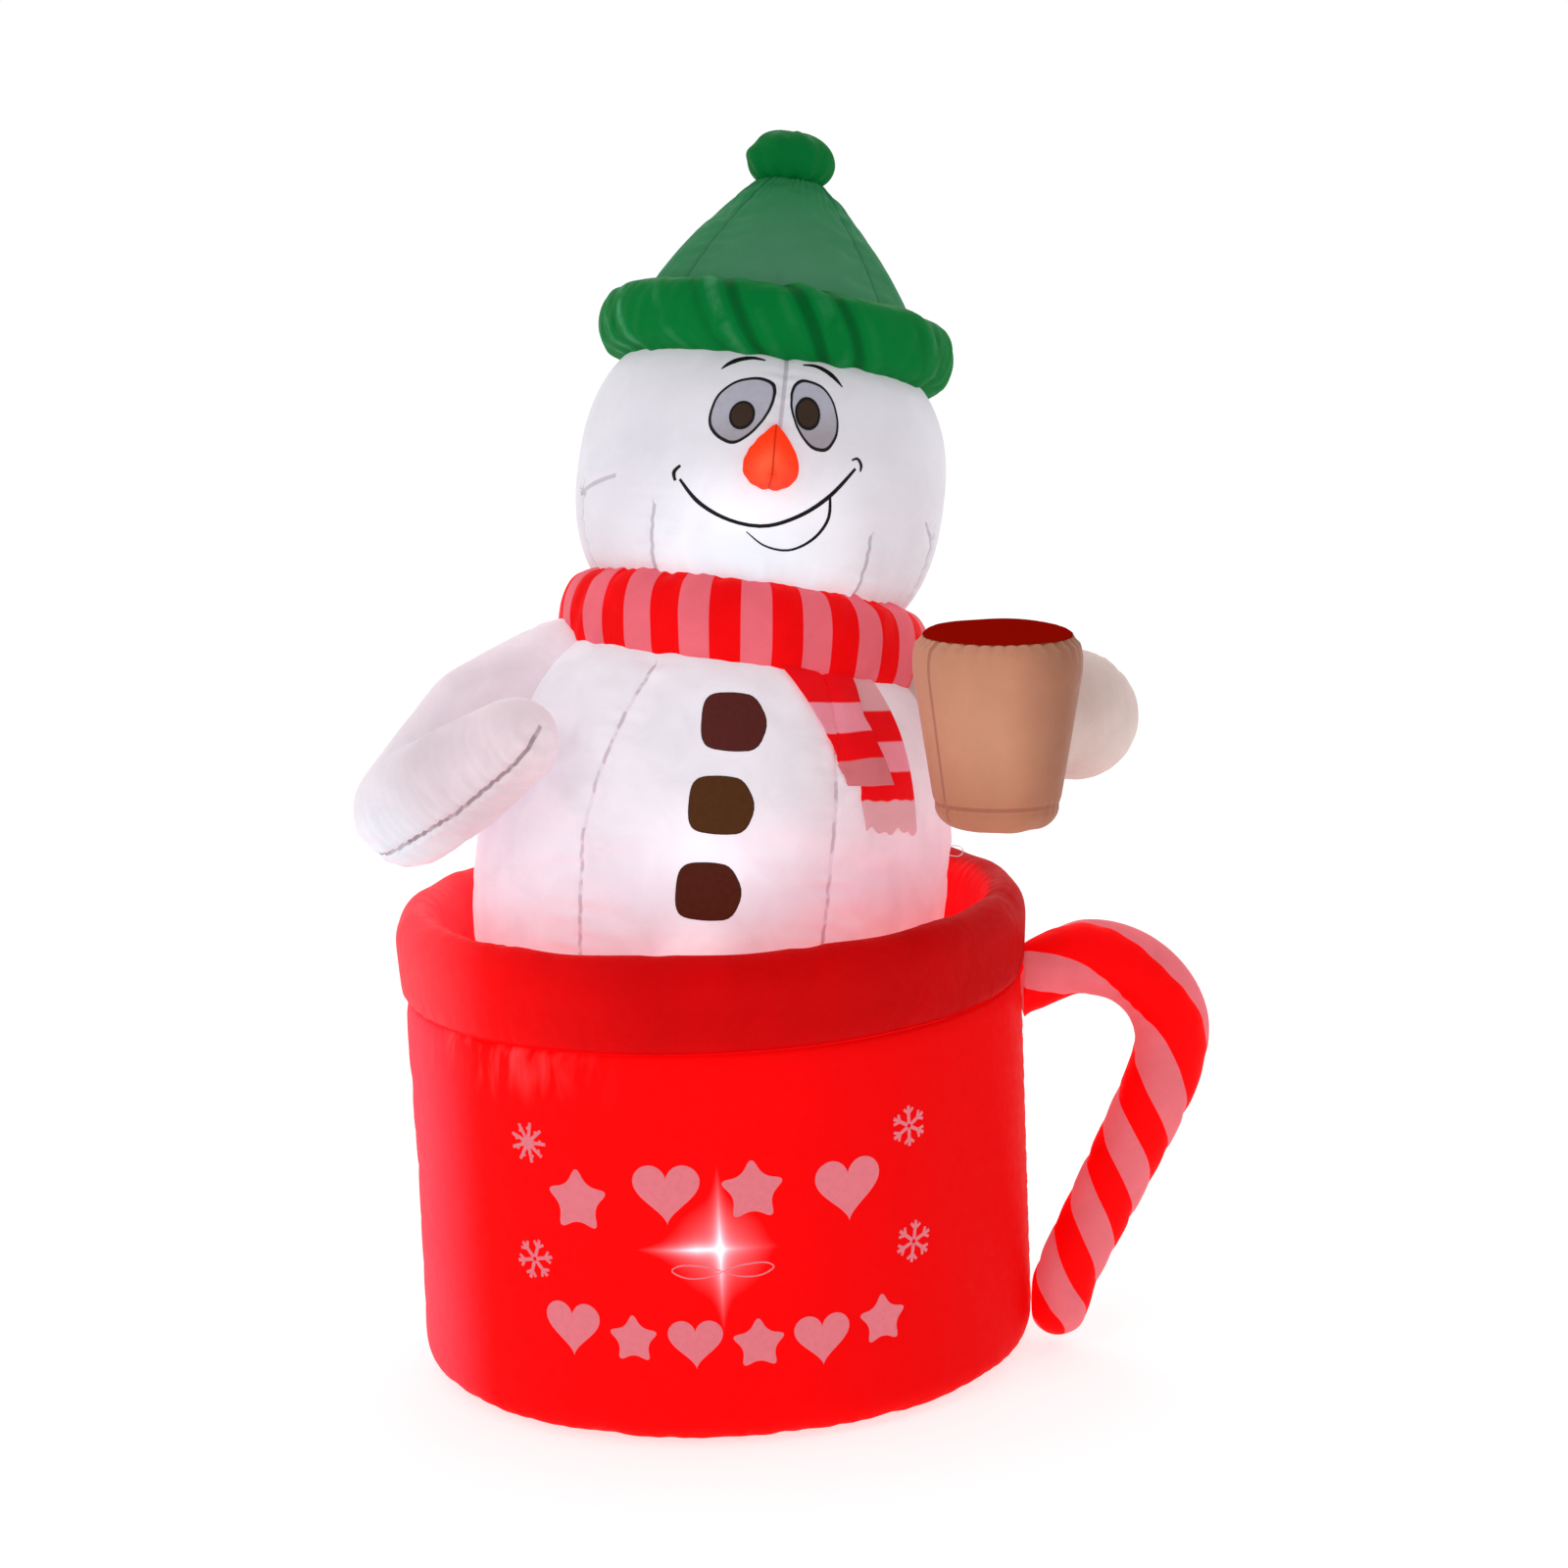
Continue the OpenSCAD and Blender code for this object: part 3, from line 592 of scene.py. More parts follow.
def make_camera():
    cam = bpy.data.objects.new("camera", bpy.data.cameras.new("camera"))
    bpy.context.scene.collection.objects.link(cam)
    cam.data.lens = 81.25
    cam.data.sensor_width = 36
    pitch, yaw, roll = (math.radians(x) for x in (10.49, 1.306, 2.4))
    ahead = np.array([math.sin(yaw) * math.cos(pitch), math.cos(yaw) * math.cos(pitch), -math.sin(pitch)])
    right = np.array([math.cos(yaw), -math.sin(yaw), 0])
    up = np.cross(right, ahead)
    right, up = math.cos(roll) * right - math.sin(roll) * up, math.cos(roll) * up + math.sin(roll) * right
    m = Matrix([[right[i], up[i], -ahead[i], (0, -5.13, 1.8)[i]] for i in range(3)] + [[0, 0, 0, 1]])
    cam.matrix_world = m
    cam.data.clip_end = 200
    bpy.context.scene.camera = cam


make_camera()

# ================= Skins =================

# Mug: rows climb from the foot to the rim's seam.
EDGE_R = 45
RIM_R, RIM_Z = 423, 652
BASE_R = 406
DECK_R, DECK_HOLE_R = 387, 298
wall_profile = resample(arc(MUG_R - EDGE_R, EDGE_R, EDGE_R, EDGE_R, -90, 0) + [(MUG_R, 502), (450, RIM_SEAM_Z)], 14)
PANEL_R = 96.5
BLOWER_Z = 135
ZIP_ANGLE = 150
ZIP_LOW, ZIP_HIGH = 110, 410
MUG_SEAMS = [straight(86, 0, RIM_SEAM_Z), straight(-94, 0, RIM_SEAM_Z), straight(ZIP_ANGLE, 0, ZIP_LOW),
             straight(ZIP_ANGLE, ZIP_HIGH, RIM_SEAM_Z)]


def wall_piece():
    """Mug wall with a round hole for the blower's panel and a slit behind the zipper."""
    half = math.degrees(3.5 / MUG_R)  # half the slit
    window = 17.2  # half width in degrees of the stretch left out round the blower
    cols = np.concatenate([np.linspace(-180 + window, ZIP_ANGLE - half, 166),
                           np.linspace(ZIP_ANGLE + half, 180 - window, 8)])
    rows = wall_profile
    nv, nu = len(rows), len(cols)
    points = list(spun(rows, np.radians(cols)).reshape(-1, 3))
    slit = int(np.searchsorted(cols, ZIP_ANGLE)) - 1
    middle = (rows[1:, 1] + rows[:-1, 1]) / 2
    faces = [f for f in grid_faces(nu, nv, False)
             if not (f[0] % nu == slit and ZIP_LOW < middle[f[0] // nu] < ZIP_HIGH)]
    # Back window: columns between the two end columns, with the blower's hole in its lower part.
    top = int(np.searchsorted(rows[:, 1], 262))
    low = int(np.searchsorted(rows[:, 1], 14))
    span = 20  # columns across the window
    back = np.linspace(180 - window, 180 + window, span + 1)
    length = np.concatenate([[0], np.cumsum(np.linalg.norm(np.diff(rows, axis=0), axis=1))])

    def on_wall(x, t):
        """x is the arc from the back's centre line, t the length along the profile."""
        r, z = np.interp(t, length, rows[:, 0]), np.interp(t, length, rows[:, 1])
        a = np.radians(180) + x / MUG_R
        return np.stack([r * np.sin(a), -r * np.cos(a), z], -1)

    arcs = np.radians(back - 180) * MUG_R
    index = {}
    for j in range(nv):
        for i in range(span + 1):
            if i == 0:
                index[j, i] = j * nu + nu - 1
            elif i == span:
                index[j, i] = j * nu
            elif low < j < top:
                continue
            else:
                index[j, i] = len(points)
                points.append(on_wall(arcs[i], length[j]))
    for j in range(nv - 1):
        if low <= j < top:
            continue
        for i in range(span):
            faces.append((index[j, i], index[j, i + 1], index[j + 1, i + 1], index[j + 1, i]))
    loop = ([(low, i) for i in range(span)] + [(j, span) for j in range(low, top)]
            + [(top, i) for i in range(span, 0, -1)] + [(j, 0) for j in range(top, low, -1)])
    centre_t = np.interp(BLOWER_Z, rows[5:, 1], length[5:])
    outer = np.array([[arcs[i], length[j]] for j, i in loop])
    directions = outer - [0, centre_t]
    angle = np.arctan2(directions[:, 1], directions[:, 0])
    circle = np.stack([PANEL_R * np.cos(angle), centre_t + PANEL_R * np.sin(angle)], 1)
    previous = [index[k] for k in loop]
    for share in (0.3, 0.6, 0.85, 1.0):
        flat = outer + (circle - outer) * share
        ring = []
        for x, t in flat:
            ring.append(len(points))
            points.append(on_wall(x, t))
        for k in range(len(loop)):
            n = (k + 1) % len(loop)
            faces.append((previous[k], previous[n], ring[n], ring[k]))
        previous = ring
    return mesh_piece("mug_wall_skin", points, faces)


mug_wall = wall_piece()


mug_rim = turned("mug_rim_roll", resample([(450, RIM_SEAM_Z), (455, 597)] + arc(RIM_R, RIM_Z, 35, 49, 0, 180)
                                          + [(388, DECK_Z + 1)], 11), 200, WORLD)
mug_deck = turned("mug_deck_skin", [(r, DECK_Z - 1) for r in np.linspace(DECK_R, DECK_HOLE_R, 9)], 120, WORLD)
mug_base = turned("mug_base_skin", [(r, 1.0) for r in np.linspace(2, BASE_R, 24)], 96, WORLD)

# Body: between the deck and the neck's plane.
BODY_SEAMS = [([-32.4, -33.6, -31.8, -27.9, -24.6], [56, 243, 313, 412, 484]), straight(27, -90, 600),
              straight(88, -90, 600), straight(148, -90, 600), straight(-153, -90, 600), straight(-92, -90, 600)]


def body_rows(columns, rows):
    a = full_turn(columns)
    sa, ca = np.sin(a), -np.cos(a)

    def height(z, origin, axis):
        r = body_radius(z)
        local = np.stack([r * sa, r * ca, z], -1)
        return (to_world(BODY, local) - origin) @ axis

    def meet(low, high, origin, axis, level):
        lo, hi = np.full(columns, float(low)), np.full(columns, float(high))
        for _ in range(30):
            mid = (lo + hi) / 2
            below = height(mid, origin, axis) < level
            lo, hi = np.where(below, mid, lo), np.where(below, hi, mid)
        return (lo + hi) / 2

    foot = meet(-90, 120, np.zeros(3), np.array([0, 0, 1.0]), DECK_Z + 1.5)
    neck = meet(380, 579, NECK, HEAD_AXES[2], -2)
    t = np.linspace(0, 1, rows)[:, None]
    z = foot + (neck - foot) * (1 - (1 - t) ** 1.25)
    r = body_radius(z)
    return to_world(BODY, np.stack([r * sa, r * ca, z], -1))


body = grid_piece("body_skin_fabric", body_rows(156, 42))
HEAD_SEAMS = [straight(1.2, 62, 240), ([-39.7, -36.3], [-205, -66]), ([41.8, 36.9], [-205, -70]),
              straight(-78, -205, -30), straight(76, -205, -30), straight(112, -205, 212), straight(180, -205, 212),
              straight(-112, -205, 212)]
head = turned("head_skin_fabric", resample([(float(head_radius(z)), z) for z in np.linspace(-205, 210, 120)], 11),
              144, HEAD)
CROWN = [(209, 0), (201, 28), (183, 71), (155, 114), (124, 156), (75, 214), (49, 240), (20, 243)]
CROWN_SEAMS = [straight(x, 200, 470) for x in (-52, 46, 120, 180, -120)]
crown = turned("hat_crown_fabric", resample([(r, z + HAT_Z + 2) for r, z in CROWN], 10), 120, HEAD)
crown_z = cylindrical(HEAD, coords(crown))[1]
set_coords(crown, coords(crown) - np.outer(5 + 8 * (crown_z - HAT_Z) / 243, HEAD_AXES[0]))
BRIM = (to_world(HEAD, [-6, 0, 0]), HEAD_AXES)
BRIM_R = 203
brim = turned("hat_brim_roll", resample(arc(BRIM_R, HAT_Z + 5, 54, 63, -140, 140, 40), 9), 150, BRIM)
POM = (to_world(HEAD, [-20, 3, 0]), HEAD_AXES)
POM_Z = 492
pom_rows = resample(arc(0, POM_Z, 64, 44, -62, 89.6, 40), 6)
pom = turned("pompom_fabric", pom_rows, 64, POM, cap_high=True)
# The scarf's rolled ring: middle radius, height, half height and half width.
SCARF_R, SCARF_Z, SCARF_H, SCARF_W = 211, -226, 79, 57
scarf_rows = [(SCARF_R + SCARF_W * math.copysign(abs(math.cos(w)) ** 0.85, math.cos(w)),
               SCARF_Z + SCARF_H * math.copysign(abs(math.sin(w)) ** 0.85, math.sin(w)))
              for w in np.radians(np.linspace(-118, 126, 44))]
SCARF = (to_world(HEAD, [4, 0, 0]), HEAD_AXES)
scarf = turned("scarf_ring_fabric", resample(scarf_rows, 9), 170, SCARF)
CUP_TOP = 261
CUP_WALL = [(85, 28), (115, 211), (115, 231), (111, 249), (104, 260)]
cup = turned("cup_skin_fabric", resample([(1, -6)] + arc(51, 28, 34, 34, -90, -5, 10) + CUP_WALL, 8), 84, CUP)
drink = turned("cup_drink_skin", resample(arc(0, CUP_TOP, 103.5, 17, 2, 89.5, 30), 7), 84, CUP, cap_high=True)


VENT_R = 91


def baffle(name, z, outer):
    """Flat panel between two chambers, open in the middle for the air."""
    return turned(name, [(r, z) for r in np.linspace(outer, VENT_R, 9)], 90, HEAD)


neck_panel = baffle("neck_panel_fabric", -207, 199)
hat_panel = baffle("hat_panel_fabric", HAT_Z, 212.5)

# Arms: round stretches between stations (x, y, z, radius), fused into one skin.
RIGHT_ARM = [(-194, 10, 1022, 86), (-316, -36, 964, 89), (-424, -109, 859, 80), (-338, -206, 922, 74),
             (-261, -262, 976, 61)]
LEFT_ARM = [(256, 38, 1006, 60), (350, 10, 990, 72), (450, -50, 968, 82), (530, -148, 958, 91), (452, -226, 960, 52)]


def stretch(p, q, sides=32, steps=10):
    """Closed tapering tube with round ends between two stations."""
    p, q = np.array(p, float), np.array(q, float)
    ahead = (q - p)[:3]
    length = np.linalg.norm(ahead)
    ahead /= length
    side = unit(np.cross(ahead, [0.3, 0.2, 1.0]))
    other = np.cross(ahead, side)
    rows = []
    for w in np.linspace(-89, 0, 10)[:-1]:
        rows.append((p[3] * math.sin(math.radians(w)), p[3] * math.cos(math.radians(w))))
    for t in np.linspace(0, 1, steps):
        rows.append((t * length, p[3] + (q[3] - p[3]) * t))
    for w in np.linspace(0, 89, 10)[1:]:
        rows.append((length + q[3] * math.sin(math.radians(w)), q[3] * math.cos(math.radians(w))))
    w = np.linspace(0, TAU, sides, endpoint=False)
    ring = np.outer(np.cos(w), side) + np.outer(np.sin(w), other)
    points = np.array([p[:3] + ahead * s + r * ring for s, r in rows])
    n = len(points)
    verts = np.vstack([points.reshape(-1, 3), p[:3] - ahead * p[3], q[:3] + ahead * q[3]])
    faces = grid_faces(sides, n, True)
    faces += [((i + 1) % sides, i, n * sides) for i in range(sides)]
    faces += [((n - 1) * sides + i, (n - 1) * sides + (i + 1) % sides, n * sides + 1) for i in range(sides)]
    return verts, faces


def fused_arm(name, path, voxel=8.0):
    verts, faces, at = [], [], 0
    for p, q in zip(path, path[1:]):
        v, f = stretch(p, q)
        verts.append(v)
        faces += [tuple(i + at for i in g) for g in f]
        at += len(v)
    obj = mesh_piece(name, np.vstack(verts), faces)
    m = obj.modifiers.new("fuse", "REMESH")
    m.mode = "VOXEL"
    m.voxel_size = voxel * MM
    m = obj.modifiers.new("calm", "SMOOTH")
    m.factor = 0.5
    m.iterations = 8
    bake_modifiers(obj)
    return obj


def drop_points(obj, doomed):
    """Removes the points marked True and the faces that use them."""
    co = coords(obj)
    keep = ~np.asarray(doomed, bool)
    new = np.cumsum(keep) - 1
    faces = [[int(new[v]) for v in p.vertices] for p in obj.data.polygons if keep[list(p.vertices)].all()]
    used = np.zeros(int(keep.sum()), bool)
    for f in faces:
        used[f] = True
    last = np.cumsum(used) - 1
    mesh = bpy.data.meshes.new(obj.name)
    mesh.from_pydata((co[keep][used] * MM).tolist(), [], [[int(last[v]) for v in f] for f in faces])
    mesh.shade_smooth()
    obj.data = mesh


def inside_body(co, margin):
    a, z, r = cylindrical(BODY, co)
    return (r < body_radius(z) - margin) & (z < 560)


def inside_scarf(co, margin):
    a, z, r = cylindrical(HEAD, co)
    return ((r - SCARF_R) / (SCARF_W - margin)) ** 2 + ((z - SCARF_Z) / (SCARF_H - margin)) ** 2 < 1


def inside_cup(co, margin):
    p = to_local(CUP, co)
    r = np.hypot(p[:, 0], p[:, 1])
    wall = np.interp(p[:, 2], [z for _, z in CUP_WALL], [r for r, _ in CUP_WALL])
    return (r < wall - margin) & (p[:, 2] > margin) & (p[:, 2] < 262)


right_arm = fused_arm("right_arm_skin", RIGHT_ARM)
left_arm = fused_arm("left_arm_skin", LEFT_ARM)
for arm in (right_arm, left_arm):
    co = coords(arm)
    gone = inside_body(co, 7) | inside_scarf(co, 9)
    if arm is left_arm:
        gone |= inside_cup(co, 7)
    drop_points(arm, gone)


def limb_axes(a, b, facing):
    """Directions along a limb, across it on the side that it shows, and square to both."""
    ahead = unit(b - a)
    front = unit(np.cross(np.cross(ahead, facing), ahead))
    return ahead, front, np.cross(ahead, front)


# The forearm's seam faces the front and runs from under the elbow to the hand.
UPPER_A, FORE_A, FORE_B = (np.array(RIGHT_ARM[k][:3], float) for k in (0, 2, 4))
FORE_AHEAD, FORE_FRONT, FORE_SIDE = limb_axes(FORE_A, FORE_B, (0.12, -1.0, -0.30))
UPPER_AHEAD, UPPER_FRONT, UPPER_SIDE = limb_axes(UPPER_A, FORE_A, (-0.5, -1.0, 0.6))


NO_SEAM = 95.0  # beyond the distances that a seam shows at


def right_arm_seam(co):
    rel = co - FORE_A
    along = rel @ FORE_AHEAD
    side, front = rel @ FORE_SIDE, rel @ FORE_FRONT
    return np.where((front > 0) & (along > -60), side, NO_SEAM), along


def left_arm_seam(co):
    rel = co - np.array(LEFT_ARM[3][:3], float)
    return np.where(rel[:, 1] > 10, rel[:, 2] * 0.8 - rel[:, 0] * 0.6 - 6, NO_SEAM), rel[:, 0]


# Candy cane: stations (x, y, z, radius) from the root in the wall to the foot.
CANE = np.array([
    (440, 0, 522, 46), (508, 0, 556, 51), (560, 0, 567, 56), (616, -5, 552, 56), (659, -12, 514, 56),
    (679, -22, 463, 56), (669, -32, 406, 54), (639, -44, 343, 53), (604, -56, 280, 51), (564, -70, 210, 49),
    (527, -82, 146, 47), (504, -89, 103, 46), (491, -93, 59, 45)], float)
# Turns of the stripes per millimetre at lengths along the cane: nearly lengthwise in the bend, then a steady spiral.
SPIRAL = [(0, -0.006), (70, -0.006), (130, -0.0035), (190, -0.0025), (250, 0.0008), (310, 0.003), (370, 0.0055),
          (440, 0.0088)]
SPIRAL_START = 458  # where along the cane a red stripe faces the front


def spline(p, n):
    """Catmull-Rom curve through rows of any number of values."""
    out = []
    for i in range(len(p) - 1):
        a, b, c, d = p[max(i - 1, 0)], p[i], p[i + 1], p[min(i + 2, len(p) - 1)]
        for k in range(n):
            t = k / n
            out.append(0.5 * (2 * b + (c - a) * t + (2 * a - 5 * b + 4 * c - d) * t * t
                              + (3 * b - a - 3 * c + d) * t ** 3))
    return np.array(out + [p[-1]])


def cane_piece():
    s = spline(CANE, 10)
    step = np.linalg.norm(np.diff(s[:, :3], axis=0), axis=1)
    along = np.concatenate([[0], np.cumsum(step)])
    t = np.linspace(0, along[-1], 96)
    s = np.stack([np.interp(t, along, s[:, i]) for i in range(4)], 1)
    ahead = np.gradient(s[:, :3], axis=0)
    ahead /= np.linalg.norm(ahead, axis=1, keepdims=True)
    end = [(math.cos(math.radians(w)), math.sin(math.radians(w))) for w in (20, 38, 54, 68, 80)]
    centre = np.vstack([s[:, :3]] + [s[-1, :3] + ahead[-1] * s[-1, 3] * sn for _, sn in end])
    radius = np.concatenate([s[:, 3], [s[-1, 3] * cs for cs, _ in end]])
    ahead = np.vstack([ahead] + [ahead[-1]] * len(end))
    length = np.concatenate([t, [t[-1] + s[-1, 3] * sn for _, sn in end]])
    front = np.array([0, -1.0, 0]) + ahead * ahead[:, 1:2]
    front /= np.linalg.norm(front, axis=1, keepdims=True)
    side = np.cross(ahead, front)
    w = np.linspace(0, TAU, 56, endpoint=False)
    rate = np.interp(length, [a for a, _ in SPIRAL], [b for _, b in SPIRAL])
    spin = np.concatenate([[0], np.cumsum((rate[1:] + rate[:-1]) / 2 * np.diff(length))])
    spin -= np.interp(SPIRAL_START, length, spin)
    phase = 2 * w[None, :] + TAU * spin[:, None] + math.pi / 2
    puff = 1.5 * np.abs(np.sin(phase)) - 2.2 * bump(np.sin(phase), 0.22)
    wrinkle = 1.6 * np.sin(length[:, None] / 5.5 + 2 * np.sin(w)[None, :]) * bump(np.sin(phase), 0.5)
    r = radius[:, None] + (puff + wrinkle) * (radius[:, None] > 30) - 0.8
    points = (centre[:, None, :] + r[..., None] * (np.cos(w)[None, :, None] * front[:, None, :]
                                                   + np.sin(w)[None, :, None] * side[:, None, :]))
    flat = np.hypot(points[..., 0], points[..., 1])
    push = np.maximum(1, (MUG_R + 9.5) / np.maximum(flat, 1))
    points[..., :2] *= push[..., None]
    obj = grid_piece("candy_cane_skin", points, True, False, True)
    value = np.sin(phase).ravel()
    store(obj, "stripe", np.append(value, value[-1]))
    return obj


cane = cane_piece()

# ================= Cloth run =================


def brim_angle(z, r):
    return tube_angle(z, r, HAT_Z, BRIM_R)


def scarf_angle(z, r):
    return tube_angle(z, r, SCARF_Z, SCARF_R)


for skin, where, seams, width, grow, pressure, cap in (
        (body, BODY, BODY_SEAMS, 7, 0.03, 2.5, 9), (head, HEAD, HEAD_SEAMS, 6, 0.025, 2.5, 8),
        (crown, HEAD, CROWN_SEAMS, 5, 0.03, 2.5, 8), (mug_wall, WORLD, MUG_SEAMS, 6, 0.015, 2.0, 7)):
    inflate(skin, np.abs(seam_distance(*cylindrical(where, coords(skin)), seams)) < width, grow, pressure, cap)
a, z, r = cylindrical(BRIM, coords(brim))
inflate(brim, np.abs(np.abs(brim_angle(z, r)) - 118) < 8, 0.06, 3.0, 8)
a, z, r = cylindrical(SCARF, coords(scarf))
inflate(scarf, np.abs(np.abs(scarf_angle(z, r)) - 105) < 8, 0.05, 3.0, 7)
a, z, r = cylindrical(WORLD, coords(mug_rim))
inflate(mug_rim, (r < 392) & (np.abs(z - 628) < 10), 0.045, 3.0, 9)
for arm, seam_of, cap in ((right_arm, right_arm_seam, 8), (left_arm, left_arm_seam, 7)):
    inflate(arm, np.abs(seam_of(coords(arm))[0]) < 5, 0.04, 2.0, cap)
a, z, r = cylindrical(CUP, coords(cup))
inflate(cup, (z > 252) | ((z < 32) & (z > 23)), 0.035, 2.5, 5)
inflate(pom, False, 0.08, 2.0, 6)
run_cloth()

# ================= Relief after the cloth =================


def sculpt(obj, where, height, levels=1, seams=None, t=2.0, offset=-1):
    """Finer mesh, then relief, the distances to the seams and the skin's thickness."""
    if levels:
        subdivide(obj, levels)
    relief(obj, where, height)
    if seams:
        mark_sewn(obj, where, seams)
    thicken(obj, t, offset)


def wall_relief(a, z, r):
    # Calm around the blower's panel and along the zipper.
    hole = np.hypot(np.radians(turn_gap(a, 180)) * MUG_R, z - BLOWER_Z)
    calm = 1 - bump(np.maximum(0, hole - 96), 45)
    calm *= 1 - bump(turn_gap(a, ZIP_ANGLE), 7) * (np.abs(z - 260) < 175)
    d = seam_distance(a, z, r, MUG_SEAMS)
    left = 0.35 + 0.9 * bump(turn_gap(a, -68), 38) + 0.5 * bump(turn_gap(a, 95), 30)
    gather = turns(a, 11, 7, 60, 140) * left * np.exp(-(RIM_SEAM_Z - z) / 34)
    hem = turns(a, 5, 6, 50, 110) * bump(z - 12, 16)
    broad = turns(a, 21, 5, 5, 14) * np.sin(np.clip((z - 30) / 520, 0, 1) * math.pi)
    dent = turns(a + z * 0.05, 31, 5, 12, 30) * bump(z - 480, 70)
    return calm * (2.6 * gather + 1.1 * hem + 1.6 * broad + dent + seam_relief(d, z, 2.2, 1.0, 30, 20))


sculpt(mug_wall, WORLD, wall_relief, seams=MUG_SEAMS)


def rim_relief(a, z, r):
    top = bump(z - 690, 26)
    outer = (r > RIM_R) * bump(z - 575, 20)
    inner = (r < RIM_R) * bump(z - 672, 34)
    left = 0.35 + 0.9 * bump(turn_gap(a, -62), 45) + 0.7 * bump(turn_gap(a, 78), 32)
    notch = np.minimum(0, turns(a, 44, 5, 12, 26) + 0.35)
    return (3.4 * turns(a, 41, 6, 9, 22) * (0.3 + top) + 6.0 * notch * top
            + 2.8 * turns(a + 0.05 * z, 42, 7, 60, 130) * inner * left
            + 2.0 * turns(a, 43, 7, 60, 140) * outer * left - 2.5 * bump(z - RIM_SEAM_Z, 6))


sculpt(mug_rim, WORLD, rim_relief)
sculpt(mug_deck, WORLD, lambda a, z, r: 5 * np.sin((DECK_R - r) / (DECK_R - DECK_HOLE_R) * math.pi)
       + 1.5 * turns(a, 51, 6, 30, 70) * bump(r - 380, 12), t=1.5, offset=1)
sculpt(mug_base, WORLD, lambda a, z, r: 0.6 + 0.5 * turns(a, 52, 5, 5, 20) * np.sin(r / BASE_R * math.pi), 0,
       t=1.0, offset=1)


def body_relief(a, z, r):
    d = seam_distance(a, z, r, BODY_SEAMS)
    shoulder = turns(a, 61, 6, 14, 30) * bump(z - 470, 60)
    low = turns(a, 62, 6, 20, 44) * bump(z - 40, 90)
    return seam_relief(d, z, 2.4, 1.4, 34, 24) + 1.6 * shoulder + 1.2 * low


sculpt(body, BODY, body_relief, 2, BODY_SEAMS)

# Short creases sewn into the cheeks: middle angle, height, millimetres up per degree, half length in degrees.
SIDE_CREASES = [(-66.5, -38, 0.8, 14.5), (68, -40, -1.53, 6.5)]


def head_relief(a, z, r):
    d = seam_distance(a, z, r, HEAD_SEAMS)
    side = 0
    for middle, height, slope, half in SIDE_CREASES:
        g = turn_gap(a, middle)
        across = z - height - slope * g
        side = side + bump(g, half * 0.8) * (-4.5 * bump(across, 7) + 1.8 * np.sin(across / 6.5) * bump(across, 32))
    neck = turns(a, 71, 7, 40, 80) * bump(z + 170, 40)
    return seam_relief(d, z, 2.8, 1.5, 24, 20) + side + 1.5 * neck


subdivide(head, 2)
relief(head, HEAD, head_relief)
a, z, r = cylindrical(HEAD, coords(head))
head_seams = seam_distance(a, z, r, HEAD_SEAMS)
for middle, height, slope, half in SIDE_CREASES:
    across = z - height - slope * turn_gap(a, middle)
    near_it = np.abs(turn_gap(a, middle)) < half
    head_seams = np.where(near_it & (np.abs(across) < np.abs(head_seams)), across, head_seams)
mark_seams(head, head_seams, z)
thicken(head)

sculpt(crown, HEAD, lambda a, z, r: seam_relief(seam_distance(a, z, r, CROWN_SEAMS), z, 1.1, 0.7, 30, 14)
       + 2.2 * turns(a, 81, 7, 22, 50) * bump(z - 446, 34) + 1.2 * turns(a, 82, 6, 16, 40) * bump(z - 262, 26),
       seams=CROWN_SEAMS)


def brim_relief(a, z, r):
    around = brim_angle(z, r)
    low = bump(around + 95, 60)
    top = bump(around - 100, 55)
    lump = 3.0 * turns(a + around * 0.10, 91, 6, 8, 18)
    gather = 5.0 * turns(a + around * 0.13, 92, 6, 16, 34)
    return (lump * (0.4 + 0.6 * bump(around, 80)) + gather * (0.25 + 0.8 * low + 0.7 * top)
            + 1.2 * turns(a - around * 0.05, 93, 6, 34, 60) * bump(around, 60))


subdivide(brim)
relief(brim, BRIM, brim_relief)
a, z, r = cylindrical(BRIM, coords(brim))
# The painted sheen streaks lie beside the gathers that share their noise; painted shade fills the gathers.
store(brim, "fold", turns(a + brim_angle(z, r) * 0.13 - 0.8, 92, 6, 16, 34))
thicken(brim)


def pom_relief(a, z, r):
    low = np.clip((500 - z) / 50, 0, 1.2)
    return (3.0 * turns(a, 95, 6, 9, 17) * low + 2.2 * turns(a + 0.3 * z, 96, 5, 4, 9)
            + 3.0 * np.sin((z - POM_Z) / 7 + a * 0.05) * bump(turn_gap(a, -75), 30) * bump(z - 500, 26))


sculpt(pom, POM, pom_relief)


def scarf_relief(a, z, r):
    around = scarf_angle(z, r)
    edge = bump(around - 98, 45) + bump(around + 92, 45)
    left = 0.7 + 1.2 * bump(turn_gap(a, -55), 35) + 0.5 * bump(turn_gap(a, 60), 25)
    return (2.4 * turns(a, 101, 7, 40, 76) * edge * left + 2.2 * turns(a + around * 0.05, 102, 6, 12, 26)
            + 1.4 * turns(a - around * 0.1, 103, 6, 28, 60) * left)


subdivide(scarf)
relief(scarf, SCARF, scarf_relief)
a, z, r = cylindrical(SCARF, coords(scarf))
store(scarf, "stripe", np.sin(np.radians(a * 19 + scarf_angle(z, r) * 0.55) + 1.15 + math.pi))
thicken(scarf)

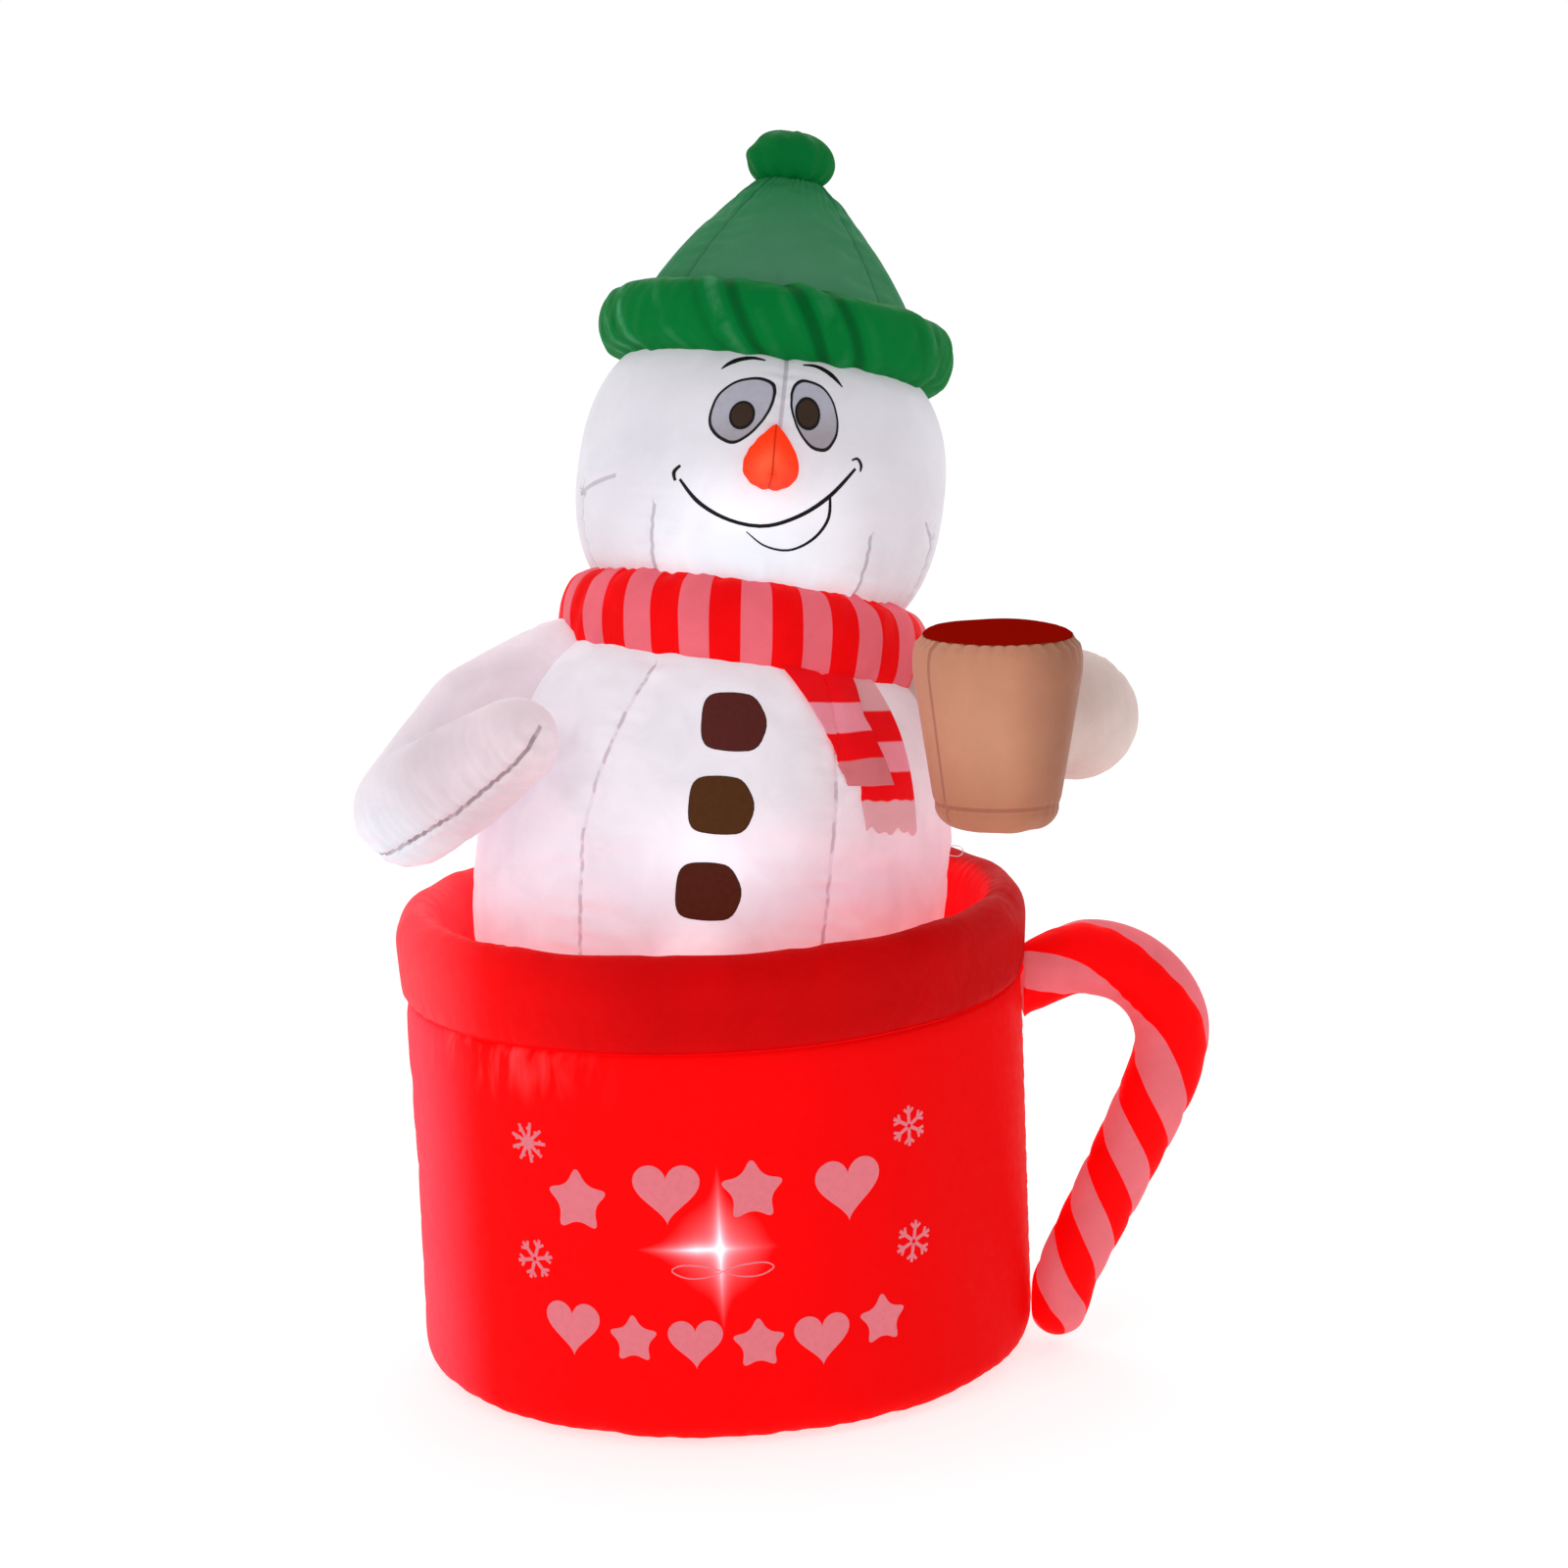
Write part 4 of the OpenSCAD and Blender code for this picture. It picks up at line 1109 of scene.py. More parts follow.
for arm, seam_of, seed in ((right_arm, right_arm_seam, 5), (left_arm, left_arm_seam, 9)):
    subdivide(arm)
    co = coords(arm)
    d, along = seam_of(co)
    push = seam_relief(d, along, 3.2, 2.6, 21, 30, seed)
    if arm is right_arm:
        push += 2.4 * np.sin(along / 4.6 + d / 30) * bump(d, 42) * bump(along + 20, 46)
        crease = np.linalg.norm(co - (FORE_A + 60 * FORE_AHEAD + 40 * UPPER_FRONT - 20 * UPPER_SIDE), axis=1)
        push += 2.0 * np.sin((co @ UPPER_AHEAD) / 6.0) * bump(crease, 55)
        shoulder = np.linalg.norm(co - np.array([-220, 0, 990]), axis=1)
        push += 2.2 * np.sin((co @ UPPER_SIDE) / 7.5) * bump(shoulder, 70)
    set_coords(arm, co + normals(arm) * push[:, None])
    mark_seams(arm, d, along)
    thicken(arm)

subdivide(cup, 2)


def cup_relief(a, z, r):
    top = np.exp(-np.maximum(0, CUP_TOP - z) / 13)
    foot = bump(z - 27, 12)
    # Pleats where the wall is gathered into its edge.
    scallop = np.abs(np.sin(np.radians(a) * 17 + 0.6 * np.sin(np.radians(a) * 5)))
    return (-3.4 + 4.6 * scallop) * top * 0.9 + 1.1 * turns(a, 111, 6, 20, 44) * foot + 1.0 * turns(a, 112, 5, 6, 13)


relief(cup, CUP, cup_relief)
a, z, r = cylindrical(CUP, coords(cup))
cup_gap = seam_distance(a, z, r, [straight(-58, 10, CUP_TOP), straight(128, 10, CUP_TOP)])
foot_gap = z - 28 - 3 * np.cos(np.radians(a))
mark_seams(cup, np.where(np.abs(foot_gap) < np.abs(cup_gap), foot_gap, cup_gap), z)
thicken(cup)
sculpt(drink, CUP, lambda a, z, r: 2.4 * turns(a, 121, 7, 22, 46) * bump(r - 108, 16)
       + 1.5 * turns(a, 122, 5, 3, 7) * r / 115)
subdivide(cane)
thicken(cane, 1.8)
for obj in (neck_panel, hat_panel):
    sculpt(obj, HEAD, lambda a, z, r: 1.2 * turns(a, 131, 6, 12, 30)
           * np.sin(np.clip((r - VENT_R) / 110, 0, 1) * math.pi), 0, t=1.5)

# ---- Skins' materials ----

# Lamps along the air's way, from the mug up to the head.
LAMPS = [(-8, -150, 150), (-2, 10, 610), (18, 32, 790), (100, 112, 1240)]


def mug_colour(s):
    # Painted shade: darker red towards the right; painted light: a pink band along the left edge.
    tone = s.graded(RED, 0, -60, 430, 0.85, RED_DEEP)
    return s.graded(tone, 0, -330, -452, 0.62, srgb(255, 84, 104))


STAR = (-8, -452, 288)  # on the front wall


def star_flare(s):
    """Bright cross with a pink halo where the lamp stands close behind the front wall."""
    x, z = s.plus(s.axis(0), -STAR[0]), s.plus(s.axis(2), -STAR[2])

    def blade(u, v, wide, long):
        """Thin across u, tapering along v."""
        a = s.math("ABSOLUTE", s.math("DIVIDE", u, wide))
        b = s.math("POWER", s.math("ABSOLUTE", s.math("DIVIDE", v, long)), 1.3)
        return s.math("EXPONENT", s.times(s.plus(a, b), -1.0))

    cross = s.plus(s.times(blade(x, z, 6.5, 70.0), 0.9), blade(z, s.plus(x, 32.0), 7.0, 46.0))
    return s.times(s.plus(cross, s.times(s.near(STAR, 66), 0.36)), s.span(s.axis(1), -300, -380))


def mug_material():
    s = Shader("mug_fabric")
    colour = s.mix(s.span(s.noise(5.0, 3.0, 0.55), 0.35, 0.7, 0.0, 0.14), mug_colour(s), RED_DEEP)
    # Painted highlight on the pleats under the rim: pale streaks only at the front's left end.
    pleat_highlight = s.span(s.noise(26.0, 3.0, 0.6, 0.3, stretch=(1, 1, 0.22)), 0.5, 0.68)
    pleat_highlight = s.times(pleat_highlight, s.span(s.axis(2), 470, 555, 0.0, 0.34, True))
    pleat_highlight = s.times(pleat_highlight, s.span(s.axis(0), -120, -300, 0.0, 1.0, True))
    colour = s.mix(s.times(pleat_highlight, s.span(s.axis(1), 60, -60)), colour, srgb(255, 96, 100))
    colour = s.mix(s.times(seam_line(s, 1.8), 0.5), colour, srgb(120, 0, 4))
    flare = star_flare(s)
    fine = s.noise(70.0, 2.0, 0.5, 0.3)
    s.bumped((s.noise(9.0, 4.0, 0.55, 0.5), 0.25, 9.0), (fine, 0.15, 1.2), (s.weave(), 0.12, 0.12))
    s.lit(s.mix(s.span(flare, 0.12, 1.1), colour, srgb(255, 222, 236)), s.plus(0.38, s.times(flare, 0.9)))
    return s.finish(colour, s.span(fine, 0.3, 0.7, 0.55, 0.72), 0.03)


def rim_colour(s):
    # Painted shade: darker towards the right; painted light: brighter towards the left and on the rim's inner side, and
    # pink at the left edge.
    tone = s.graded(srgb(190, 3, 5), 0, -40, 420, 1.0, srgb(170, 2, 4))
    tone = s.graded(tone, 0, -60, -420, 1.0, srgb(238, 8, 12))
    flat = s.node("ShaderNodeVectorMath", out="Value", settings={"operation": "LENGTH"},
                  i0=s.node("ShaderNodeMapping", Vector=s.object_space, Scale=(1, 1, 0)))
    tone = s.mix(s.span(flat, 0.424, 0.404, 0.0, 0.8, True), tone, srgb(244, 20, 28))
    return s.graded(tone, 0, -300, -458, 0.55, srgb(250, 84, 96))


def recess_colour(s):
    # Painted light: brighter towards the right.
    return s.graded(srgb(228, 12, 18), 0, -40, 330, 1.0, srgb(255, 34, 44))


def body_colour(s):
    # Painted pink light: the body turns from white at the top to pink below about 700 mm, pinker towards the right.
    pink = s.graded(srgb(224, 204, 219), 0, -120, 320, 1.0, srgb(230, 148, 172))
    tone = s.graded(WHITE, 2, 930, 700, 1.0, pink)
    # Painted shade towards the right.
    tone = s.graded(tone, 0, 140, 330, 0.5, srgb(214, 172, 184))
    # Painted pool of cool light on the belly.
    return s.tinted(tone, (20, -300, 690), 150, 0.55, srgb(216, 226, 238))


def head_colour(s):
    # Barely paler and warmer towards the bottom; a painted pool of cool light below the mouth.
    tone = s.graded(srgb(205, 202, 211), 2, 1480, 1180, 1.0, srgb(208, 203, 212))
    return s.tinted(tone, to_world(HEAD, [0, -225, -185]), 120, 0.6, srgb(198, 226, 238))


def arm_colour(s):
    tone = s.mix(s.span(s.noise(3.2, 2.0), 0.35, 0.7), srgb(226, 211, 219), srgb(212, 194, 202))
    # Painted shade near the hand and on the forearm; a painted pool of cool light below the elbow.
    tone = s.tinted(tone, (-262, -275, 985), 55, 0.7, srgb(190, 164, 168))
    tone = s.tinted(tone, (-400, -165, 800), 130, 0.7, srgb(212, 230, 238))
    return s.tinted(tone, (-345, -215, 925), 95, 0.85, srgb(184, 164, 170))


def left_arm_colour(s):
    # Painted shade: a darker, warmer copy of the white arm fabric, with random mottling.
    return s.mix(s.span(s.noise(3.2, 2.0), 0.35, 0.7), srgb(200, 178, 172), srgb(172, 148, 138))


def stripe_colour(red, pink, edge=0.0):
    return lambda s: s.mix(s.span(s.attribute("stripe"), edge - 0.03, edge + 0.03), pink, red)


def crown_colour(s):
    # Painted light: a paler green patch on the front's left.
    return s.tinted(srgb(22, 108, 60), to_world(HEAD, [-8, -170, HAT_Z + 36]), 195, 0.8, srgb(72, 120, 92))


def brim_colour(s):
    fold = s.attribute("fold")
    # Painted shade in the gathers; painted sheen as pale streaks beside them, mostly on the left.
    tone = s.mix(s.span(fold, -0.10, -0.55, 0.0, 0.65), GREEN, srgb(0, 66, 24))
    light = s.times(s.span(fold, 0.1, 0.5), s.span(s.axis(0), 150, -170, 0.10, 0.95, True))
    patchy = s.span(s.noise(16.0, 3.0, 0.6, 0.4), 0.40, 0.62)
    return s.mix(s.times(light, patchy), tone, srgb(92, 160, 124))


def cup_colour(s):
    # Painted shade: darker towards the bottom and the right; a painted highlight on the front.
    base = s.graded(srgb(176, 118, 92), 2, 1080, 860, 1.0, srgb(160, 94, 68))
    base = s.tinted(base, (390, -440, 975), 120, 0.8, srgb(190, 134, 106))
    return s.graded(base, 0, 400, 510, 0.9, srgb(130, 80, 56))


# Glows are (point, radius, strength).
front_glow = [(to_world(BODY, point), radius, strength) for point, radius, strength in (
    ((-10, -345, 242), 60, 0.22), ((-90, -345, 242), 55, 0.08), ((70, -345, 242), 55, 0.08),
    ((-22, -338, 60), 42, 0.20), ((-22, -338, 115), 42, 0.20))]
mouth_glow = [(to_world(HEAD, (x, -255, -48)), 62, 0.15) for x in (-120, -50, 20, 90)]
mouth_glow += [(to_world(HEAD, (x, -225, -160)), 90, 0.16) for x in (-150, -50, 50, 150)]
deck_mat = matte("deck_fabric", recess_colour, 0.44)
arm_mat = fabric("arm_fabric", arm_colour, 0.36, 0.30, (srgb(140, 118, 124), 0.8), dash=0.4)
crown_mat = matte("crown_fabric", crown_colour, 0.32, crinkle=0.25, seam=(srgb(16, 84, 46), 0.22))
for obj, material, slot, node, fill in (
        (mug_wall, mug_material(), "red", "mug_wall", 0.9),
        (mug_base, deck_mat, "red", "mug_base", 0.7),
        (mug_rim, matte("rim_fabric", rim_colour, 0.38, crinkle=0.45), "red", "mug_rim", 0.9),
        (mug_deck, deck_mat, "red", "mug_deck", 0.8),
        (cane, matte("cane_fabric", stripe_colour(RED, PINK, 0.05), 0.40, crinkle=0.25), "striped",
         "candy_cane_handle", 0.95),
        (body, fabric("body_fabric", body_colour, 0.30, 0.22, (srgb(190, 156, 172), 0.6), dash=0.75,
                      glows=front_glow, glow_colour=WARM_WHITE), "white", "body_skin", 0.95),
        (head, fabric("head_fabric", head_colour, 0.23, 0.20, (srgb(170, 160, 172), 0.6), crinkle_scale=9.0,
                      glows=mouth_glow, glow_colour=WARM_WHITE), "white", "head_skin", 0.95),
        (neck_panel, arm_mat, "white", "neck_baffle", 0.5),
        (hat_panel, crown_mat, "green", "hat_baffle", 0.5),
        (crown, crown_mat, "green", "hat_crown", 0.9),
        (brim, matte("brim_fabric", brim_colour, 0.22, crinkle=0.6), "green", "hat_brim", 0.9),
        (pom, matte("pom_fabric", plain(srgb(2, 98, 42)), 0.30, crinkle=0.6), "green", "pompom", 0.9),
        (scarf, matte("scarf_fabric", stripe_colour(srgb(222, 6, 10), srgb(214, 96, 108)), 0.40, crinkle=0.4),
         "striped", "scarf_ring", 0.9),
        (right_arm, arm_mat, "white", "right_arm", 0.9),
        (left_arm, fabric("left_arm_fabric", left_arm_colour, 0.30, 0.30, (srgb(150, 124, 122), 0.5), dash=0.4),
         "white", "left_arm", 0.9),
        (cup, fabric("cup_fabric", cup_colour, 0.31, 0.25, (srgb(150, 70, 56), 0.42)), "tan", "cup_skin", 0.9),
        (drink, matte("drink_fabric", plain(DRINK), 0.34, specular=0.0), "brown", "cup_drink", 0.9)):
    place(obj, material, f"{slot}_fabric", node, fill=fill)

# ================= Nose =================


def nose_piece():
    """Teardrop base on the face, drawn out to a drooping tip."""
    w = np.linspace(0, TAU, 72, endpoint=False)
    shape_x = 52 * np.sin(w) * np.sin(w / 2)
    shape_z = 48 * np.cos(w)
    rows = []
    for t in np.linspace(0, 0.97, 22):
        size = (1 - t ** 1.7) ** 0.8
        centre_z = 20 - 34 * t ** 1.2
        x = shape_x * size
        z = centre_z + shape_z * size * (1 - 0.12 * t)
        r = head_radius(z)
        on_face = -np.sqrt(np.maximum(0, (r + 1.0) ** 2 - x ** 2))
        y = on_face * (1 - t) + (-262 - 96 * t) * t - 8 * (1 - t) * (t > 0)
        rows.append(np.stack([x, y, z], -1))
    points = np.array(rows)[:, ::-1]
    return grid_piece("carrot_nose_skin", to_world(HEAD, points), True, False, True)


nose = nose_piece()
subdivide(nose)
co = coords(nose)
local = to_local(HEAD, co)
fold = bump(local[:, 0], 2.6) * (local[:, 2] > -34)
around = np.degrees(np.arctan2(local[:, 0], local[:, 2] - 10))
set_coords(nose, co + normals(nose) * (-1.6 * fold + 0.8 * turns(around, 7, 5, 6, 14))[:, None])
mark_seams(nose, local[:, 0], local[:, 2])


def nose_colour(s):
    # Painted highlight: a paler orange spot on the nose.
    return s.tinted(srgb(246, 52, 14), to_world(HEAD, [-14, -330, 16]), 34, 0.7, srgb(252, 104, 64))


place(nose, matte("nose_fabric", nose_colour, 0.42, 0.08, crinkle=0.2, seam=(srgb(190, 34, 14), 0.7), seam_width=0.8),
      "orange_fabric", "carrot_nose", fill=0.9)

# ================= Printed and sewn patches that follow a skin =================

skin_trees = {}


def surface(obj):
    """Search tree of a piece's outer surface, in millimetres."""
    if obj.name not in skin_trees:
        co = coords(obj)
        faces = [list(p.vertices) for p in obj.data.polygons]
        skin_trees[obj.name] = BVHTree.FromPolygons([Vector(c) for c in co], faces)
    return skin_trees[obj.name]


def drop_on(obj, where, angle, z, x, lift):
    """Point on a skin seen from straight ahead at an angle: x to the side, z up, lifted off the skin."""
    tree = surface(obj)
    a = math.radians(angle)
    out = np.array([math.sin(a), -math.cos(a), 0])
    side = np.array([math.cos(a), math.sin(a), 0])
    start = to_world(where, out * 900 + side * x + np.array([0, 0, z]))
    ahead = Vector(-out @ where[1])
    hit, normal, _, _ = tree.ray_cast(Vector(start), ahead)
    if hit is None:
        return None
    if normal.dot(ahead) > 0:
        normal = -normal
    return np.array(hit + normal * lift)


PATCH_RINGS = (1.0, 0.985, 0.94, 0.87, 0.76, 0.62, 0.45, 0.25, 0.04)


def patch_piece(name, skin, where, angle, z, outline, lift=0.8):
    """Filled outline laid on a skin, as rings from its edge inwards; stores how near the edge each point is."""
    outline = np.array(outline, float)
    centre = outline.mean(0)
    rows = [[drop_on(skin, where, angle, z + p[1], p[0], lift * (0.5 if t == 1 else 1))
             for p in centre + (outline - centre) * t] for t in PATCH_RINGS]
    obj = grid_piece(name, np.array(rows), True, False, True)
    store(obj, "edge", np.append(np.repeat(PATCH_RINGS, len(outline)), 0.0))
    thicken(obj, 0.6)
    return obj


def rounded(shape, passes=3):
    """Corner-cut outline of a polygon."""
    p = np.array(shape, float)
    for _ in range(passes):
        q = np.roll(p, -1, 0)
        p = np.stack([0.78 * p + 0.22 * q, 0.22 * p + 0.78 * q], 1).reshape(-1, 2)
    return p


def oval(half_w, half_h, tilt, n=64):
    w = np.linspace(0, TAU, n, endpoint=False)
    t = math.radians(tilt)
    x, y = half_w * np.cos(w), half_h * np.sin(w)
    return np.stack([x * math.cos(t) + y * math.sin(t), -x * math.sin(t) + y * math.cos(t)], 1)


def patch_material(name, inner, outer, edge, glow, low=None):
    """Printed patch with a darker edge; low is (z, z, colour) for its lower part."""
    s = Shader(name)
    base = s.graded(inner, 2, low[0], low[1], 1.0, low[2]) if low else inner
    colour = s.mix(s.span(s.attribute("edge"), edge - 0.012, edge + 0.012), base, outer)
    fine = s.noise(120.0, 2.0)
    colour = s.shaded(colour, fine, 0.4, 0.7, 0.2, grey(0.7))
    s.bumped((s.noise(20.0, 3.0), 0.2, 4.0), (s.weave(), 0.15, 0.12))
    s.lit(colour, glow)
    return s.finish(colour, s.span(fine, 0.3, 0.7, 0.55, 0.7), 0.2)


BUTTON = rounded([(-46, -22), (-36, -39), (0, -41), (36, -36), (49, 4), (28, 39), (1, 42), (-34, 38), (-46, 23)], 2)
for k, (name, angle, z, tone) in enumerate((("top", 0.6, 418, (76, 24, 21)), ("middle", -0.7, 302, (72, 36, 3)),
                                            ("bottom", -1.8, 181, (71, 19, 0)))):
    material = patch_material(f"button_fabric_{k}", srgb(*tone), srgb(44, 22, 18), 0.97, 0.30)
    piece = patch_piece(f"button_{name}_patch", body, BODY, angle, z, BUTTON)
    place(piece, material, "button_fabric", f"button_{name}")

EYE_HIGH, EYE_LOW = (to_world(HEAD, [0, -250, z])[2] for z in (96, 40))
eye_mat = patch_material("eye_print", EYE_GREY, BLACK, 0.905, 0.42, (EYE_HIGH, EYE_LOW, srgb(138, 132, 138)))
pupil_mat = patch_material("pupil_print", srgb(52, 36, 26), BLACK, 0.8, 0.2)
EYE_RIGHT = [(-43, -11), (-37, 18), (-15, 40), (15, 49), (38, 44), (43, 27), (38, 0), (21, -29), (-3, -48), (-27, -40),
             (-40, -27)][::-1]
EYE_LEFT = [(-34, 22), (-31, -2), (-17, -30), (1, -46), (23, -46), (35, -24), (35, -2), (26, 25), (10, 43), (-17, 48),
            (-29, 40)]
for name, angle, z, shape in (("right", -11.3, 77, EYE_RIGHT), ("left", 11.3, 84, EYE_LEFT)):
    outline = rounded([(x * 1.06, y * 1.09 + 2) for x, y in shape])
    piece = patch_piece(f"eye_print_{name}", head, HEAD, angle, z, outline)
    place(piece, eye_mat, "grey_print", f"eye_patch_{name}")
for name, angle, z, w, h, tilt in (("right", -10.7, 72, 18, 21, 12), ("left", 9.2, 87, 18, 24, -8)):
    piece = patch_piece(f"pupil_print_{name}", head, HEAD, angle, z, oval(w, h, tilt), 1.9)
    place(piece, pupil_mat, "black_print", f"pupil_{name}")


def stroke_points(skin, where, path, widths, lift, samples):
    """Ribbon along a path of (angle, z) on a skin, width in millimetres along it."""
    s = spline(np.array(path, float), 16)
    s = resample(s, np.linalg.norm(np.diff(s, axis=0), axis=1).sum() / samples)
    t = np.linspace(0, 1, len(s))
    w = np.interp(t, np.linspace(0, 1, len(widths)), widths)
    flat_r = np.array([math.hypot(*to_local(where, drop_on(skin, where, a, z, 0, 0))[:2]) for a, z in s])
    arc_x = np.radians(s[:, 0]) * flat_r.mean()
    way = np.gradient(np.stack([arc_x, s[:, 1]], 1), axis=0)
    way /= np.maximum(1e-9, np.linalg.norm(way, axis=1, keepdims=True))
    side = np.stack([way[:, 1], -way[:, 0]], 1)
    return np.array([[drop_on(skin, where, a + math.degrees(n[0] * half * k / flat_r.mean()), z + n[1] * half * k, 0,
                              lift * (1 - 0.35 * abs(k))) for k in np.linspace(-1, 1, 5)]
                     for (a, z), n, half in zip(s, side, w / 2)])


def stroke_piece(name, skin, where, strokes, lift=0.9, samples=48):
    obj = joined_piece(name, [stroke_points(skin, where, path, widths, lift, samples) for path, widths in strokes])
    thicken(obj, 0.6)
    return obj


line_mat = patch_material("black_print_line", BLACK, BLACK, 2.0, 0.0)
lines = {
    "brow_right": [([(-20.6, 137), (-18.4, 147), (-15, 155), (-10.8, 159), (-6.4, 157.5)], [1.5, 5, 7, 6, 2])],
    "brow_left": [([(7, 158.5), (11, 160), (14.8, 156), (18.2, 147), (20.8, 135)], [2, 6, 7, 5, 1.5])],
    "smile": [([(-27.2, -27.5), (-20.1, -58), (-10.2, -77), (0.5, -79), (10.5, -58), (18.9, -24), (26.2, 21)],
               [4, 6, 5, 5.5, 6, 5.5, 4]),
              ([(-27.6, -8), (-29.4, -18), (-28.7, -30)], [4, 6, 4]),
              ([(24.7, 32), (26.5, 35.5), (28, 28), (28, 18)], [2.5, 4.5, 4.5, 2])],
    "tongue": [([(19, -22), (19.6, -56), (16, -87), (9.3, -107), (1.5, -106), (-4.8, -90)],
                [3.5, 4.5, 4.5, 4, 3, 1.5])],
}
for name, strokes in lines.items():
    place(stroke_piece(f"{name}_print", head, HEAD, strokes), line_mat, "black_print")

# Ornaments on the mug: snowflakes, with rows of stars and hearts between them.


def flake(angle, z, size, style):
    """Six arms with small branches, or a burst of nine, as strokes on the wall; sizes in millimetres."""
    per = 180 / math.pi / MUG_R
    burst = style == 0
    out = [([(angle + per * 11, z), (angle - per * 11, z)], [6, 24, 6])] if burst else []
    arms = 9 if burst else 6
    for k in range(arms):
        w = math.radians(360 / arms * k + (0, 30, 12, 20)[style])
        ux, uz = math.cos(w), math.sin(w)
        out.append(([(angle + per * 3 * ux, z + 3 * uz), (angle + per * size * ux, z + size * uz)], [5.5, 5.0]))
        for share, turn, reach in ((1.0, 0, 0.08), (0.7, 70, 0.2)) if burst else ((0.62, 50, 0.36), (0.62, -50, 0.36)):
            v = w + math.radians(turn)
            px, pz = size * share * ux, size * share * uz
            qx, qz = px + size * reach * math.cos(v), pz + size * reach * math.sin(v)
            out.append(([(angle + per * px, z + pz), (angle + per * qx, z + qz)], [5.0, 4.0]))
    return out


ornament_mat = patch_material("ornament_print", PALE_PINK, PALE_PINK, 2.0, 0.36)
for k, (angle, z, size) in enumerate(((-35.9, 429, 27), (34.9, 428, 29), (-35.8, 260, 30), (35.1, 260, 30))):
    piece = stroke_piece(f"snowflake_{k + 1}_print", mug_wall, WORLD, flake(angle, z, size, k), 0.9, 6)
    place(piece, ornament_mat, "white_fabric")


def star_shape(size):
    tips = []
    for k in range(10):
        w = math.pi / 2 + math.pi * k / 5
        r = size if k % 2 == 0 else size * 0.52
        tips.append((r * math.cos(w), r * math.sin(w)))
    return rounded(tips, 3)


def heart_shape(size):
    w = np.linspace(0, TAU, 64, endpoint=False)[::-1]
    x = 16 * np.sin(w) ** 3
    y = 13 * np.cos(w) - 5 * np.cos(2 * w) - 2 * np.cos(3 * w) - np.cos(4 * w)
    return np.stack([x, y + 2], 1) * size / 15


ROW_HIGH = [("star", -26.3, 353, 52), ("heart", -9.9, 369, 44), ("star", 5.0, 369, 50), ("heart", 22.2, 356, 46)]
ROW_LOW = [("heart", -28.5, 167, 40), ("star", -17.0, 158, 40), ("heart", -6.0, 153, 36), ("star", 5.0, 149, 42),
           ("heart", 16.3, 146, 38), ("star", 28.0, 158, 42)]
for k, (kind, angle, z, size) in enumerate(ROW_HIGH + ROW_LOW):
    shape = star_shape(size) if kind == "star" else heart_shape(size)
    place(patch_piece(f"{kind}_{k + 1}_print", mug_wall, WORLD, angle, z, shape, 0.9), ornament_mat, "white_fabric")

SWIRL_ANGLE = -0.7
SWIRL = [(0, 256), (3.2, 264), (7.2, 266), (8.8, 258), (6.4, 248), (3.0, 248), (0.2, 255)]
swirl = [([(SWIRL_ANGLE + side * x, z) for x, z in SWIRL], [1.2, 3.0, 2.0, 2.4, 2.0, 1.4]) for side in (-1, 1)]
place(stroke_piece("swirl_print", mug_wall, WORLD, swirl, 0.8, 40), ornament_mat, "white_fabric")

# ================= Scarf tails =================


TAIL_TOP_Z = 488


def tail_piece(name, angle, left, right, lift, wave, ragged):
    """Flat tail hung over the body's skin: left and right edges as (x, z) lines from the top."""
    rows, cols = 56, 22
    left, right = resample(left, 1.0), resample(right, 1.0)
    points = []
    for j in range(rows + 1):
        t = j / rows
        a, b = left[round(t * (len(left) - 1))], right[round(t * (len(right) - 1))]
        row = []
        for i in range(cols + 1):
            u = i / cols
            x, z = a + (b - a) * u
            z += ragged * t ** 6 * math.sin(u * 19) * math.sin(u * 7 + 1)
            high = lift + wave * t * (0.5 + 0.5 * math.sin(TAU * (u * 0.9 + t * 0.7)))
            row.append(drop_on(body, BODY, angle, TAIL_TOP_Z + z, x, high))
        points.append(row)
    rows_up = np.array(points)[::-1]
    n, m, _ = rows_up.shape
    d1 = rows_up[1:, 1:] - rows_up[:-1, :-1]
    d2 = rows_up[1:, :-1] - rows_up[:-1, 1:]
    area = float(np.linalg.norm(np.cross(d1, d2), axis=-1).sum() / 2)
    obj = grid_piece(name, rows_up, False)
    along = np.repeat(np.linspace(1, 0, n), m)
    store(obj, "down", np.stack([along, np.tile(np.linspace(0, 1, m), n), 0 * along], 1))
    thicken(obj, 1.6)
    length = np.linalg.norm(np.diff(rows_up[:, m // 2], axis=0), axis=1).sum()
    width = np.linalg.norm(rows_up[:, -1] - rows_up[:, 0], axis=1).max()
    return obj, width, length, area


def band_colour(stops, slant):
    """Bands across a tail: stops are (share of the length where it starts, colour)."""
    def paint(s):
        down, across, _ = s.xyz(s.attribute("down", "Vector"))
        t = s.plus(down, s.times(across, slant))
        colour = stops[0][1]
        for start, tone in stops[1:]:
            colour = s.mix(s.span(t, start - 0.006, start + 0.006), colour, tone)
        return colour
    return paint


